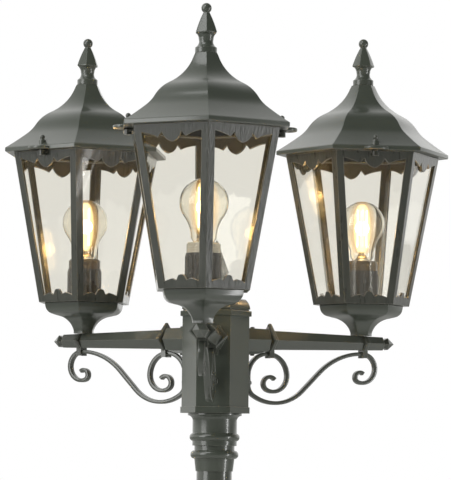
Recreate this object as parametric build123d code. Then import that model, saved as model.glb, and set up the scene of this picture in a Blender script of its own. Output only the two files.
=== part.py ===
"""A garden lamp post with three hexagonal lanterns on arms around one hub.

Millimetres, +Z up, the origin on the ground at the middle of the foot. The front arm points along -Y.
Each lantern is built once in its own frame: its origin is on its axis in the plane of the eaves, and a
corner of its hexagon points along +X, outwards along the arm. Each arm is built once along +X.
"""

from build123d import *
from math import cos, sin, radians, sqrt
import os

# ---- Layout ---------------------------------------------------------------------------------------
TOTAL_HEIGHT = 2200          # ground to the top of the lanterns' finials
LANTERN_REACH = 214          # post axis to lantern axis
ARM_HEADINGS = {"front": 270, "left": 150, "right": 30}
LANTERN_TURNS = {"front": 7, "left": -1, "right": -18}   # each lantern is turned a little on its stem
ARM_DROP = 251               # eaves to the arm's centreline
SEAT_GAP = 0.3               # between pieces that sit on each other but are not clamped flat
HEX = 2 / sqrt(3)            # a hexagon's corner radius over its flat radius

# ---- Roof -----------------------------------------------------------------------------------------
EAVE_FLAT = 101              # axis to the middle of an eave
EAVE_HALF_HEIGHT = 2.5
ROOF_RISE = 93               # eaves to the top of the roof
ROOF_NECK_FLAT = 14          # flat radius at the top of the roof
ROOF_WALL = 1.8
ROOF_TOP_WALL = 3
NECK_HEADING = -75           # how steeply the outline leaves the neck, in degrees
SHOULDER_START = (0.355, 0.43)   # shares of the run and of the fall where the shoulder begins
SHOULDER_END = (0.57, 0.63)      # where it ends
FLARE_START = (0.69, 0.768)      # and where the skirt begins to flare
SOFFIT_THICKNESS = 1.8
SOFFIT_OPENING_FLAT = 80
EAR_HALF_WIDTH = 16
EAR_REACH = 114              # axis to the end of an ear
EAR_THICKNESS = 4

# ---- Roof screws ----------------------------------------------------------------------------------
SCREW_RADIUS_OUT = 95        # axis to a roof screw
SCREW_SHANK_R = 2.0
SCREW_CLEARANCE = 0.3
SCREW_BOSS_R = 5.0
SCREW_BOSS_TOP = 10          # above the eaves
SCREW_HEAD_R = 3.4
SCREW_HEAD_RISE = 14         # eaves to the middle of the head
SCREW_COLLAR_R = 3.2
SCREW_LENGTH_BELOW = 8       # below the eaves
LUG_DEPTH = 7                # height of the lug's boss on the cage
LUG_BOSS_R = 4.6
LUG_ARM_THICKNESS = 3

# ---- Finial ---------------------------------------------------------------------------------------
FINIAL_TOP = 156             # above the eaves
FINIAL_BALL_R = 6.5
FINIAL_COLLAR_R = 13.6
FINIAL_COLLAR_HEIGHT = 7.5
FINIAL_WAIST_R = 9.2
FINIAL_WAIST_RISE = 17.5     # roof top to the waist
FINIAL_CONE_RISE = 27.5      # roof top to the widest part of the cone
FINIAL_CONE_FLAT = 12.8
FINIAL_CONE_EDGE = 2         # height of the cone's upright edge
FINIAL_TIP_FLAT = 3.5
STUD_R = 3.0
STUD_CLEARANCE = 0.3
STUD_LENGTH = 9
STUD_NUT_FLAT = 5.0
STUD_NUT_HEIGHT = 3.5

# ---- Cage -----------------------------------------------------------------------------------------
CAGE_DEPTH = 201             # eaves to the underside of the cage
CAGE_TOP_FLAT = 89.6
CAGE_BOTTOM_FLAT = 56
CAGE_WALL = 3
POST_FLANGE = 9.4            # width of a corner post along each face
CAGE_LEDGE_FLAT = 40         # inner flat radius of the ledge that the panes stand on
CAGE_LEDGE_THICKNESS = 2.5
FRINGE_CUSP = 12.5           # eaves to the cusps of the fringe
FRINGE_SIDE_LOBE = 19        # eaves to the small lobes
FRINGE_MIDDLE_LOBE = 25      # eaves to the middle lobe
FRINGE_CUSP_SHARE = 0.32     # shares of the window's half width, from its middle
FRINGE_LOBE_SHARE = 0.46
SILL_HEIGHT = 8.5
SILL_BUMP = 12
SILL_NOTCH = 9.5
SILL_PEAK = 15.5
SILL_NOTCH_SHARE = 0.3
SILL_BUMP_SHARE = 0.52
SILL_PEAK_SHARE = 0.16

# ---- Panes ----------------------------------------------------------------------------------------
PANE_THICKNESS = 2.5
PANE_TOP = -4                # below the eaves
PANE_SIDE_GAP = 1.0

# ---- Bowl and neck under the cage -----------------------------------------------------------------
BOWL_FLAT = 49
BOWL_BAND = 5                # height of the upright band at the top of the bowl
BOWL_BAND_TAPER = 0.8
BOWL_FOOT_FLAT = 38.5
BOWL_HEIGHT = 15
BOWL_STEP_FLAT = 33
BOWL_STEP_DROP = 1.6
NECK_FLAT = 12.5
NECK_HEIGHT = 3.5            # of the upright end of the neck
BOWL_CAVITY_R = 30
BOWL_FLOOR = 3.5

# ---- Stem between arm and lantern -----------------------------------------------------------------
STEM_R = 5.0
STEM_BORE_R = 3.5
STEM_CLEARANCE = 0.3
STEM_NUT_FLAT = 8.0
STEM_NUT_HEIGHT = 4.0
STEM_END_IN_ARM = 0.5        # above the arm's centreline

# ---- Lampholder and bulb --------------------------------------------------------------------------
HOLDER_R = 22.5
HOLDER_WALL = 3.0
HOLDER_FLOOR = 4.0
HOLDER_TOP = -155            # below the eaves
HOLDER_RIB_COUNT = 12
HOLDER_RIB_R = 1.6
INSERT_WALL_GAP = 0.3
INSERT_BASE_GAP = 6          # above the holder's floor
INSERT_COLLAR_R = 20.6
INSERT_COLLAR_EDGE = 1.5
INSERT_TOP = -142
INSERT_WIRE_HOLE_R = 4.0
CONTACT_GAP = 0.4
CAP_R = 13.0                 # screw cap of a standard 27 mm lamp
CAP_CLEARANCE = 0.35
CAP_LENGTH = 24
CAP_WALL = 0.6
CONTACT_R = 5
CONTACT_HEIGHT = 2.6
BULB_R = 30                  # 60 mm bulb
BULB_TOP = -62
BULB_NECK_R = 15.5
BULB_NECK_DROP = 44          # from the bulb's widest part to where its neck is straight
GLASS_WALL = 0.9
GLASS_BASE = -141            # where glass meets cap
FILAMENT_COUNT = 4           # upright glowing rods
FILAMENT_R = 1.1
FILAMENT_CIRCLE_R = 6
FILAMENT_TOP = -74
FILAMENT_FOOT = -122
FILAMENT_WIRE_R = 0.6
STEM_MOUNT_R = 4.5
STEM_MOUNT_TOP = -127

# ---- Arm ------------------------------------------------------------------------------------------
ARM_START = 40               # from the post axis, inside the hub's wall
ARM_BEYOND_LANTERN = 30
ARM_HALF_HEIGHT_START = 13.3
ARM_HALF_HEIGHT_END = 8.7
ARM_WALL = 2.5
TIP_GROOVE_LENGTH = 3
TIP_GROOVE_FLAT = 5.0
TIP_BASE_FLAT = 7.8
TIP_BACK_LENGTH = 5
TIP_POINT_LENGTH = 11
TIP_PLUG_LENGTH = 10
TIP_PLUG_R = 5.4

# ---- Collars and their forks ----------------------------------------------------------------------
COLLAR_THICKNESS = 7
COLLAR_CLEARANCE = 0.15
INNER_COLLAR_AT = 78.5       # from the post axis
INNER_COLLAR_HALF_DIAGONAL = 22
OUTER_COLLAR_HALF_DIAGONAL = 17.5
OUTER_COLLAR_OUTSET = 3      # outwards of the lantern's axis
COLLAR_EDGE_CHAMFER = 1.6
COLLAR_OPEN_LIP = 0.5        # an open collar ends this far below the arm's top
FORK_PRONG = 2.8
FORK_OVERHANG = 3.0          # of the prongs below the scroll bar
FORK_ROOT = 6                # height of the fork's block above the bar, inside the collar

# ---- Scroll ---------------------------------------------------------------------------------------
BAR_WIDTH = 8                # across the arm
BAR_THICKNESS = 5
BAR_CLEARANCE = 0.3
SCROLL_AT_HUB = 47           # post axis to the bar's centreline beside the hub
SCROLL_SCREW_DROP = 56       # arm's centreline to the screw through the bar
INNER_ARCH_DROP = 17.7       # arm's centreline to the top of the inner loop
INNER_LOOP_R = 28.4
INNER_CURL_R, INNER_CURL_TURN = 20.7, 114
INNER_EYE_R, INNER_EYE_TURN = 9.1, 206
OUTER_ARCH_DROP = 14.2       # arm's centreline to the top of the outer loop
HEEL_RUN = 3.07              # straight, from the screw down to the heel
HEEL_R, HEEL_TURN = 15.8, 57
BELLY_TURN = 77.4
CREST_R = 91
OUTER_LOOP_R, OUTER_LOOP_TURN = 19.2, 196.5
OUTER_EYE_R, OUTER_EYE_TURN = 6.8, 208

# ---- Hub ------------------------------------------------------------------------------------------
HUB_FLAT = 37.7
HUB_WALL = 6
HUB_TOP_DROP = 222           # eaves to the underside of the cap
HUB_BODY_HEIGHT = 117.5
HUB_BAND_FLAT = 39
HUB_BAND_HEIGHT = 8
SOCKET_END = 73              # from the post axis
SOCKET_WALL = 1.5
SOCKET_CLEARANCE = 0.2
GUSSET_WIDTH = 12
GUSSET_FLAT_DROP = 18.5      # arm's centreline to the gusset's flat, which takes the lower set screw
GUSSET_ROOT_DROP = 22        # arm's centreline to the gusset's foot at the hub
GUSSET_FLAT_START = 48       # from the post axis
GUSSET_FLAT_END = 57
GUSSET_ROOT = 42
PAD_R = 6
SET_SCREW_AT = 53            # from the post axis
SMALL_HEAD_R = 2.9
SMALL_HEAD_HEIGHT = 2.2
SMALL_HEAD_EDGE = 0.8
SMALL_SHANK_R = 1.8
SMALL_CLEARANCE = 0.25
SET_SCREW_GRIP = 2.0         # how far a set screw reaches into the arm's wall
SCROLL_SCREW_GRIP = 1.0      # how far a scroll screw reaches into the hub's wall

# ---- Hub cap --------------------------------------------------------------------------------------
CAP_RIM_FLAT = 40.3
CAP_RIM_HEIGHT = 7
CAP_GROOVE_FLAT = 37.3
CAP_GROOVE_HEIGHT = 2.2
CAP_TIER_FLAT = 38.6
CAP_TOP_FLAT = 33
CAP_TIER_HEIGHT = 13
CAP_SPIGOT_DEPTH = 8
SPEAR_NECK_FLAT = 7.5
SPEAR_NECK_HEIGHT = 26
SPEAR_BASE_FLAT = 14
SPEAR_BACK_HEIGHT = 9
SPEAR_HEIGHT = 42

# ---- Post -----------------------------------------------------------------------------------------
TUBE_R = 22.9
TUBE_WALL = 2.6
TUBE_TOP_IN_HUB = 22         # above the hub's underside
CAPITAL_FLANGE_R = 35
CAPITAL_COLLAR_R = 28.8
CAPITAL_RING_R = 32.5
CAPITAL_LOWER_RING_R = 31.2
CAPITAL_SMALL_R = 26
CAPITAL_STEPS = (3, 9, 26, 36, 42, 48, 59)   # down from its top to where its rings begin and end
CAPITAL_HEIGHT = 75
FIT_CLEARANCE = 0.2
KNOP_MIDDLE = 1010           # above the ground
KNOP_HALF_HEIGHT = 52
KNOP_R = 38
KNOP_BEAD_R = 33
KNOP_RING_R = 29.9
KNOP_BAND = 8                # height of the upright band at its foot
KNOP_BEAD_HEIGHT = 10
KNOP_RING_HALF_HEIGHT = 6
KNOP_LIP = 2                 # of its ends beyond the tube and the column
COLUMN_TOP_R = 29
COLUMN_BOTTOM_R = 38
COLUMN_SEAT_DEPTH = 5        # the column's foot below the top of the post's foot
COLUMN_WALL = 6
FLUTE_COUNT = 12
FLUTE_TOP_R = 6.2
FLUTE_BOTTOM_R = 8.2
FLUTE_DEPTH = 2.2
FLUTE_END = 30               # plain length at each end of the column
TUBE_BELOW_KNOP = 110        # the tube's lower end, below the knop's middle
FOOT_FLANGE_R = 120
FOOT_FLANGE_THICKNESS = 12
FOOT_BEAD_HEIGHT = 12        # of the rounded bead between flange and bell
FOOT_BELL_R = 84
FOOT_WAIST_R = 48
FOOT_NECK_HEIGHT = 60        # from the waist to the foot's top
FOOT_RING_HEIGHT = 24
FOOT_RING_OUT = 9
FOOT_TOP_R = 44
FOOT_HEIGHT = 290
FOOT_WALL = 6
COLUMN_SEAT_THICKNESS = 10
BOLT_CIRCLE_R = 104
BOLT_HOLE_R = 5.5
BOLT_COUNT = 4
BRIDGE_HEIGHT = 70           # ground to the underside of the wiring bridge
BRIDGE_WIDTH = 30
BRIDGE_THICKNESS = 6
TERMINAL_SIZE = (52, 18, 20)
TERMINAL_WAYS = 3

# ---- Places worked out from the sizes -------------------------------------------------------------
EAVES_Z = TOTAL_HEIGHT - FINIAL_TOP
ARM_Z = EAVES_Z - ARM_DROP
CAGE_TOP = -EAVE_HALF_HEIGHT - SEAT_GAP
CAGE_BOTTOM = -CAGE_DEPTH
HUB_TOP_Z = EAVES_Z - HUB_TOP_DROP
HUB_BOTTOM_Z = HUB_TOP_Z - HUB_BODY_HEIGHT - HUB_BAND_HEIGHT
CAPITAL_BOTTOM_Z = HUB_BOTTOM_Z - CAPITAL_HEIGHT
OUTER_COLLAR_AT = LANTERN_REACH + OUTER_COLLAR_OUTSET
ARM_END = LANTERN_REACH + ARM_BEYOND_LANTERN
COLUMN_BOTTOM = FOOT_HEIGHT - COLUMN_SEAT_DEPTH


# ---- Helpers --------------------------------------------------------------------------------------
def hexagon(flat, z, turn=0):
    """A level hexagon with a corner along +X when turn is 0."""
    return Pos(0, 0, z) * RegularPolygon(flat, 6, major_radius=False, rotation=turn)


def hex_frustum(bottom_flat, bottom_z, top_flat, top_z):
    return loft([hexagon(bottom_flat, bottom_z), hexagon(top_flat, top_z)], ruled=True)


def hex_prism(flat, bottom_z, top_z, turn=0):
    return extrude(hexagon(flat, bottom_z, turn), top_z - bottom_z)


def disc(radius, bottom_z, top_z):
    return extrude(Pos(0, 0, bottom_z) * Circle(radius), top_z - bottom_z)


def upright_face(outline):
    """A face from edges drawn as (distance outwards, height)."""
    return make_face([Plane.XZ * edge for edge in outline])


def six_sided(half_outline, reach):
    """A body whose six faces follow one outline: the mirrored outline, pulled out three ways and crossed."""
    half = upright_face(half_outline)
    slab = extrude(half + mirror(half, about=Plane.YZ), reach, both=True)
    return Rot(0, 0, 30) * slab & Rot(0, 0, 90) * slab & Rot(0, 0, 150) * slab


def turned(half_outline):
    """A round body from an outline drawn as (radius, height) edges that close on the axis."""
    return revolve(upright_face(half_outline), Axis.Z)


def closed_lines(*points):
    return list(Polyline(*points, close=True).edges())


def running_path(start, heading, steps):
    """Edges that run on smoothly from one another. A step is a length, or a radius and a turn in degrees."""
    point = Vector(*start)
    direction = Vector(cos(radians(heading)), sin(radians(heading)))
    edges = []
    for step in steps:
        if isinstance(step, tuple):
            edges.append(JernArc(point, direction, *step))
        else:
            edges.append(Line(point, point + direction * step))
        point, direction = edges[-1] @ 1, edges[-1] % 1
    return edges


def arm_half_height(distance):
    """Half the arm's height, flat to flat, at a distance from the post axis."""
    share = (distance - ARM_START) / (ARM_END - ARM_START)
    return ARM_HALF_HEIGHT_START + share * (ARM_HALF_HEIGHT_END - ARM_HALF_HEIGHT_START)


def lying_hexagon(distance, half_height):
    """A hexagon across the arm, with flats above and below."""
    across = Plane((distance, 0, 0), x_dir=(0, 1, 0), z_dir=(1, 0, 0))
    return across * RegularPolygon(half_height, 6, major_radius=False)


def lying_frustum(start, end, grow=0):
    """The arm's own taper between two distances, grown or shrunk by an even wall."""
    sections = [lying_hexagon(x, arm_half_height(x) + grow) for x in (start, end)]
    return loft(sections, ruled=True)


def cage_flat(z):
    """The cage's outer flat radius at a height."""
    share = (z - CAGE_BOTTOM) / (CAGE_TOP - CAGE_BOTTOM)
    return CAGE_BOTTOM_FLAT + share * (CAGE_TOP_FLAT - CAGE_BOTTOM_FLAT)


def cage_shell(outer_inset, inner_inset, bottom_z, top_z):
    """The space between two insets of the cage's faces."""
    def frustum(inset, low, high):
        return hex_frustum(cage_flat(low) - inset, low, cage_flat(high) - inset, high)
    return frustum(outer_inset, bottom_z, top_z) - frustum(inner_inset, bottom_z - 1, top_z + 1)


# ---- Roof -----------------------------------------------------------------------------------------
def roof_outline(inset, foot_z):
    """Neck, shoulder, skirt and flare as arcs that run into one another, moved in and down by inset."""
    run = EAVE_FLAT - ROOF_NECK_FLAT
    fall = ROOF_RISE - EAVE_HALF_HEIGHT

    def at(across, down):
        return Vector(ROOF_NECK_FLAT + run * across - inset, ROOF_RISE - fall * down - inset)

    heading = Vector(cos(radians(NECK_HEADING)), sin(radians(NECK_HEADING)))
    neck = TangentArc(at(0, 0), at(*SHOULDER_START), tangent=heading)
    shoulder = TangentArc(at(*SHOULDER_START), at(*SHOULDER_END), tangent=neck % 1)
    skirt = TangentArc(at(*SHOULDER_END), at(*FLARE_START), tangent=shoulder % 1)
    flare = TangentArc(at(*FLARE_START), at(1, 1), tangent=skirt % 1)
    top = Vector(0, at(0, 0).Y)
    eave_foot, axis_foot = Vector(at(1, 1).X, foot_z), Vector(0, foot_z)
    return [Line(top, at(0, 0)), neck, shoulder, skirt, flare, Line(at(1, 1), eave_foot),
            Line(eave_foot, axis_foot), Line(axis_foot, top)]


def make_roof():
    roof = six_sided(roof_outline(0, -EAVE_HALF_HEIGHT), 2 * EAVE_FLAT)
    hollow = six_sided(roof_outline(ROOF_WALL, SOFFIT_THICKNESS - EAVE_HALF_HEIGHT), 2 * EAVE_FLAT)
    hollow -= disc(2 * ROOF_NECK_FLAT, ROOF_RISE - ROOF_TOP_WALL, ROOF_RISE)
    roof -= hollow
    roof -= hex_prism(SOFFIT_OPENING_FLAT, -EAVE_HALF_HEIGHT - 1, SOFFIT_THICKNESS - EAVE_HALF_HEIGHT + 1)
    for side in (1, -1):
        ear = Pos(0, side * EAVE_FLAT, -EAVE_HALF_HEIGHT) * Ellipse(EAR_HALF_WIDTH, EAR_REACH - EAVE_FLAT)
        boss = Pos(0, side * SCREW_RADIUS_OUT) * disc(SCREW_BOSS_R, -EAVE_HALF_HEIGHT, SCREW_BOSS_TOP)
        hole = Pos(0, side * SCREW_RADIUS_OUT) * disc(SCREW_SHANK_R + SCREW_CLEARANCE, -20, 20)
        roof = roof + extrude(ear, EAR_THICKNESS) + boss - hole
    return roof - disc(STUD_R + STUD_CLEARANCE, ROOF_RISE - 20, ROOF_RISE + 1)


def make_finial():
    base, waist = ROOF_RISE, ROOF_RISE + FINIAL_WAIST_RISE
    widest, ball = ROOF_RISE + FINIAL_CONE_RISE, FINIAL_TOP - FINIAL_BALL_R
    edge_foot = widest - FINIAL_CONE_EDGE
    collar_top = base + FINIAL_COLLAR_HEIGHT
    body = turned([
        Line((0, base), (FINIAL_COLLAR_R, base)),
        Line((FINIAL_COLLAR_R, base), (FINIAL_COLLAR_R, collar_top)),
        TangentArc((FINIAL_COLLAR_R, collar_top), (FINIAL_WAIST_R, waist), tangent=(-1, 0.6)),
        TangentArc((FINIAL_WAIST_R, waist), (FINIAL_CONE_FLAT, edge_foot), tangent=(0, 1)),
        Line((FINIAL_CONE_FLAT, edge_foot), (0, edge_foot)),
        Line((0, edge_foot), (0, base)),
    ])
    body += hex_prism(FINIAL_CONE_FLAT, edge_foot, widest)
    body += hex_frustum(FINIAL_CONE_FLAT, widest, FINIAL_TIP_FLAT, ball - FINIAL_BALL_R * 0.8)
    body += Pos(0, 0, ball) * Sphere(FINIAL_BALL_R)
    body += disc(STUD_R, base - STUD_LENGTH, base)
    nut_top = base - ROOF_TOP_WALL
    nut = hex_prism(STUD_NUT_FLAT, nut_top - STUD_NUT_HEIGHT, nut_top) - disc(STUD_R, nut_top - 9, nut_top + 9)
    return [body, nut]


def make_roof_screws():
    head = Pos(0, 0, SCREW_HEAD_RISE) * Sphere(SCREW_HEAD_R)
    collar = disc(SCREW_COLLAR_R, SCREW_BOSS_TOP, SCREW_BOSS_TOP + 1.5)
    screw = head + collar + disc(SCREW_SHANK_R, -SCREW_LENGTH_BELOW, SCREW_HEAD_RISE)
    return [Pos(0, side * SCREW_RADIUS_OUT) * screw for side in (1, -1)]


# ---- Cage and panes -------------------------------------------------------------------------------
def window_outline():
    """One window drawn flat on a face: the scalloped fringe above, the crested sill below.

    Its origin is at the middle of the face's lower edge, and heights run up the slope.
    """
    rise = CAGE_TOP - CAGE_BOTTOM
    slope = sqrt(rise ** 2 + (CAGE_TOP_FLAT - CAGE_BOTTOM_FLAT) ** 2) / rise

    def up(z):
        return (z - CAGE_BOTTOM) * slope

    def half_width(z):
        return cage_flat(z) * HEX / 2 - POST_FLANGE

    top = half_width(-FRINGE_CUSP)
    low = half_width(CAGE_BOTTOM + SILL_HEIGHT)
    edges = []
    for side in (1, -1):
        post_top = Vector(side * top, up(-FRINGE_CUSP))
        lobe = Vector(side * top * FRINGE_LOBE_SHARE, up(-FRINGE_SIDE_LOBE))
        cusp = Vector(side * top * FRINGE_CUSP_SHARE, up(-FRINGE_CUSP))
        middle = Vector(0, up(-FRINGE_MIDDLE_LOBE))
        post_foot = Vector(side * low, up(CAGE_BOTTOM + SILL_HEIGHT))
        bump = Vector(side * low * SILL_BUMP_SHARE, up(CAGE_BOTTOM + SILL_BUMP))
        notch = Vector(side * low * SILL_NOTCH_SHARE, up(CAGE_BOTTOM + SILL_NOTCH))
        peak = Vector(side * low * SILL_PEAK_SHARE, up(CAGE_BOTTOM + SILL_PEAK))
        edges += [
            Line(post_foot, post_top),
            TangentArc(post_top, lobe, tangent=(-side, -0.12)),
            Line(lobe, cusp),
            TangentArc(cusp, middle, tangent=(-side * 0.25, -1)),
            TangentArc(post_foot, bump, tangent=(-side, 0.45)),
            Line(bump, notch),
            Line(notch, peak),
        ]
    edges.append(ThreePointArc(
        (low * SILL_PEAK_SHARE, up(CAGE_BOTTOM + SILL_PEAK)),
        (0, up(CAGE_BOTTOM + SILL_PEAK + 1.2)),
        (-low * SILL_PEAK_SHARE, up(CAGE_BOTTOM + SILL_PEAK)),
    ))
    return edges


def face_plane(index):
    """The plane of one of the cage's six faces, its origin at the middle of the face's lower edge."""
    angle = radians(30 + 60 * index)
    outward = Vector(cos(angle), sin(angle), 0)
    sideways = Vector(-sin(angle), cos(angle), 0)
    lean = (CAGE_TOP_FLAT - CAGE_BOTTOM_FLAT) / (CAGE_TOP - CAGE_BOTTOM)
    normal = outward - Vector(0, 0, lean)
    return Plane(outward * CAGE_BOTTOM_FLAT + Vector(0, 0, CAGE_BOTTOM), x_dir=sideways, z_dir=normal)


def make_cage():
    cage = cage_shell(0, CAGE_WALL, CAGE_BOTTOM, CAGE_TOP)
    window = make_face(window_outline())
    for index in range(6):
        cage -= extrude(face_plane(index) * window, 3 * CAGE_WALL, both=True)
    ledge_top = CAGE_BOTTOM + CAGE_LEDGE_THICKNESS
    cage += hex_frustum(CAGE_BOTTOM_FLAT - 1, CAGE_BOTTOM, cage_flat(ledge_top) - 1, ledge_top) \
        - hex_prism(CAGE_LEDGE_FLAT, CAGE_BOTTOM - 1, ledge_top + 1)
    for side in (1, -1):
        centre = Pos(0, side * SCREW_RADIUS_OUT, CAGE_TOP)
        boss = centre * disc(LUG_BOSS_R, -LUG_DEPTH, 0)
        inside = CAGE_TOP_FLAT - CAGE_WALL + 0.5
        web = Pos(0, side * (inside + SCREW_RADIUS_OUT) / 2, CAGE_TOP - LUG_ARM_THICKNESS / 2) * Box(
            2 * LUG_BOSS_R, SCREW_RADIUS_OUT - inside, LUG_ARM_THICKNESS)
        hole = centre * disc(SCREW_SHANK_R + SCREW_CLEARANCE, -LUG_DEPTH - 1, 1)
        cage = cage + boss + web - hole
    return cage


def make_panes():
    outer_inset = CAGE_WALL + SEAT_GAP
    bottom = CAGE_BOTTOM + CAGE_LEDGE_THICKNESS + SEAT_GAP
    ring = cage_shell(outer_inset, outer_inset + PANE_THICKNESS, bottom, PANE_TOP)
    mitre = PANE_SIDE_GAP / 2
    corner = 2 * CAGE_TOP_FLAT
    sector = Pos(0, 0, CAGE_BOTTOM) * make_face(Polyline(
        (2 * mitre, 0), (2 * mitre + corner * cos(radians(30)), corner * sin(radians(30))),
        (2 * mitre + corner * cos(radians(30)), -corner * sin(radians(30))), close=True))
    pane = ring & Rot(0, 0, 30) * extrude(sector, CAGE_DEPTH)
    return [Rot(0, 0, 60 * index) * pane for index in range(6)]


# ---- Bowl, stem, lampholder and bulb --------------------------------------------------------------
def neck_foot_z():
    """Just above the arm's flat top, which is highest at the neck's inner edge."""
    return -ARM_DROP + arm_half_height(LANTERN_REACH - NECK_FLAT) + SEAT_GAP / 3


def make_base():
    top = CAGE_BOTTOM
    band_foot = Vector(BOWL_FLAT - BOWL_BAND_TAPER, top - BOWL_BAND)
    bowl_foot = Vector(BOWL_FOOT_FLAT, top - BOWL_HEIGHT)
    step = Vector(BOWL_STEP_FLAT, top - BOWL_HEIGHT - BOWL_STEP_DROP)
    neck_top = Vector(NECK_FLAT, neck_foot_z() + NECK_HEIGHT)
    neck_foot = Vector(NECK_FLAT, neck_foot_z())
    outline = [
        Line((0, top), (BOWL_FLAT, top)),
        Line((BOWL_FLAT, top), band_foot),
        TangentArc(band_foot, bowl_foot, tangent=(-0.15, -1)),
        Line(bowl_foot, step),
        TangentArc(step, neck_top, tangent=(-1, -0.18)),
        Line(neck_top, neck_foot),
        Line(neck_foot, (0, neck_foot.Y)),
        Line((0, neck_foot.Y), (0, top)),
    ]
    cavity_top = top - BOWL_FLOOR
    cavity = turned(closed_lines(
        (0, cavity_top), (BOWL_CAVITY_R, cavity_top), (BOWL_CAVITY_R, cavity_top - BOWL_HEIGHT / 2),
        (STEM_R + 2, cavity_top - 2 * BOWL_HEIGHT), (0, cavity_top - 2 * BOWL_HEIGHT)))
    base = six_sided(outline, 2 * BOWL_FLAT) - cavity
    return base - disc(STEM_R + STEM_CLEARANCE, -ARM_DROP, top + 1)


def make_stem():
    floor_top = CAGE_BOTTOM + HOLDER_FLOOR
    tube_top = floor_top + STEM_NUT_HEIGHT + 1
    tube = disc(STEM_R, -ARM_DROP + STEM_END_IN_ARM, tube_top)
    tube -= disc(STEM_BORE_R, -ARM_DROP, tube_top + 1)
    nut = hex_prism(STEM_NUT_FLAT, floor_top, floor_top + STEM_NUT_HEIGHT)
    return [tube, nut - disc(STEM_R, floor_top - 1, tube_top + 1)]


def make_lampholder():
    cup = disc(HOLDER_R - HOLDER_RIB_R / 2, CAGE_BOTTOM, HOLDER_TOP)
    ribs = PolarLocations(HOLDER_R - HOLDER_RIB_R, HOLDER_RIB_COUNT)
    cup += [spot * disc(HOLDER_RIB_R, CAGE_BOTTOM, HOLDER_TOP - 3) for spot in ribs]
    cup -= disc(HOLDER_R - HOLDER_WALL, CAGE_BOTTOM + HOLDER_FLOOR, HOLDER_TOP + 1)
    return cup - disc(STEM_R + STEM_CLEARANCE, CAGE_BOTTOM - 1, CAGE_BOTTOM + HOLDER_FLOOR + 1)


def make_holder_insert():
    """The pale insert that takes the bulb's cap. Its collar stands on the holder's rim."""
    foot = CAGE_BOTTOM + HOLDER_FLOOR + INSERT_BASE_GAP
    body_r = HOLDER_R - HOLDER_WALL - INSERT_WALL_GAP
    insert = disc(body_r, foot, HOLDER_TOP) + disc(INSERT_COLLAR_R, HOLDER_TOP, INSERT_TOP - INSERT_COLLAR_EDGE)
    insert += disc(INSERT_COLLAR_R - INSERT_COLLAR_EDGE, HOLDER_TOP, INSERT_TOP)
    contact_seat = GLASS_BASE - CAP_LENGTH - CONTACT_HEIGHT - CONTACT_GAP
    insert -= disc(INSERT_WIRE_HOLE_R, foot - 1, contact_seat + 1)
    return insert - disc(CAP_R + CAP_CLEARANCE, contact_seat, INSERT_TOP + 1)


def bulb_outline(inset):
    """Outline of the glass from its crown to its base, inset by a wall."""
    middle = BULB_TOP - BULB_R
    radius = BULB_R - inset
    neck_r = BULB_NECK_R - inset
    crown = JernArc((0, middle + radius), (1, 0), radius, -128)
    waist = Vector(neck_r, middle - BULB_NECK_DROP)
    shoulder = TangentArc(waist, crown @ 1, tangent=(0, 1))
    foot = Vector(CAP_R - CAP_WALL - inset, GLASS_BASE)
    return [crown, shoulder, Line(waist, foot), Line(foot, (0, GLASS_BASE)),
            Line((0, GLASS_BASE), (0, middle + radius))]


def make_bulb_glass():
    return turned(bulb_outline(0)) - turned(bulb_outline(GLASS_WALL))


def make_bulb_cap():
    foot = GLASS_BASE - CAP_LENGTH
    shell = disc(CAP_R, foot, GLASS_BASE) - disc(CAP_R - CAP_WALL, foot + 2, GLASS_BASE + 1)
    return shell + disc(CONTACT_R, foot - CONTACT_HEIGHT, foot)


def make_filament():
    """The glass mount with upright glowing rods, held by a ring and crossed wires at each end."""
    mount = turned(closed_lines(
        (0, GLASS_BASE - 1), (CAP_R - CAP_WALL - 1.2, GLASS_BASE - 1), (STEM_MOUNT_R, GLASS_BASE + 8),
        (STEM_MOUNT_R, STEM_MOUNT_TOP), (0, STEM_MOUNT_TOP)))
    mount += disc(FILAMENT_WIRE_R, STEM_MOUNT_TOP - 1, FILAMENT_TOP)
    for height in (FILAMENT_FOOT, FILAMENT_TOP):
        low, high = height - FILAMENT_WIRE_R, height + FILAMENT_WIRE_R
        ring = disc(FILAMENT_CIRCLE_R + FILAMENT_WIRE_R, low, high)
        ring -= disc(FILAMENT_CIRCLE_R - FILAMENT_WIRE_R, low - 1, high + 1)
        wire = Box(2 * FILAMENT_CIRCLE_R, FILAMENT_WIRE_R, FILAMENT_WIRE_R)
        mount += ring + Pos(0, 0, height) * wire + Pos(0, 0, height) * Rot(0, 0, 90) * wire
    rods = PolarLocations(FILAMENT_CIRCLE_R, FILAMENT_COUNT)
    mount += [spot * disc(FILAMENT_R, FILAMENT_FOOT - 1, FILAMENT_TOP + 1) for spot in rods]
    return mount


# ---- Arm, its end and collars, scroll -------------------------------------------------------------
def make_arm():
    arm = lying_frustum(ARM_START, ARM_END) - lying_frustum(ARM_START, ARM_END, -ARM_WALL)
    stem_hole = Pos(LANTERN_REACH, 0) * disc(STEM_R + STEM_CLEARANCE / 3, 0, 2 * ARM_HALF_HEIGHT_START)
    arm -= stem_hole
    for side in (1, -1):
        arm -= Pos(SET_SCREW_AT, 0) * disc(SMALL_SHANK_R + SMALL_CLEARANCE, 0, side * 2 * ARM_HALF_HEIGHT_START)
    return arm


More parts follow.
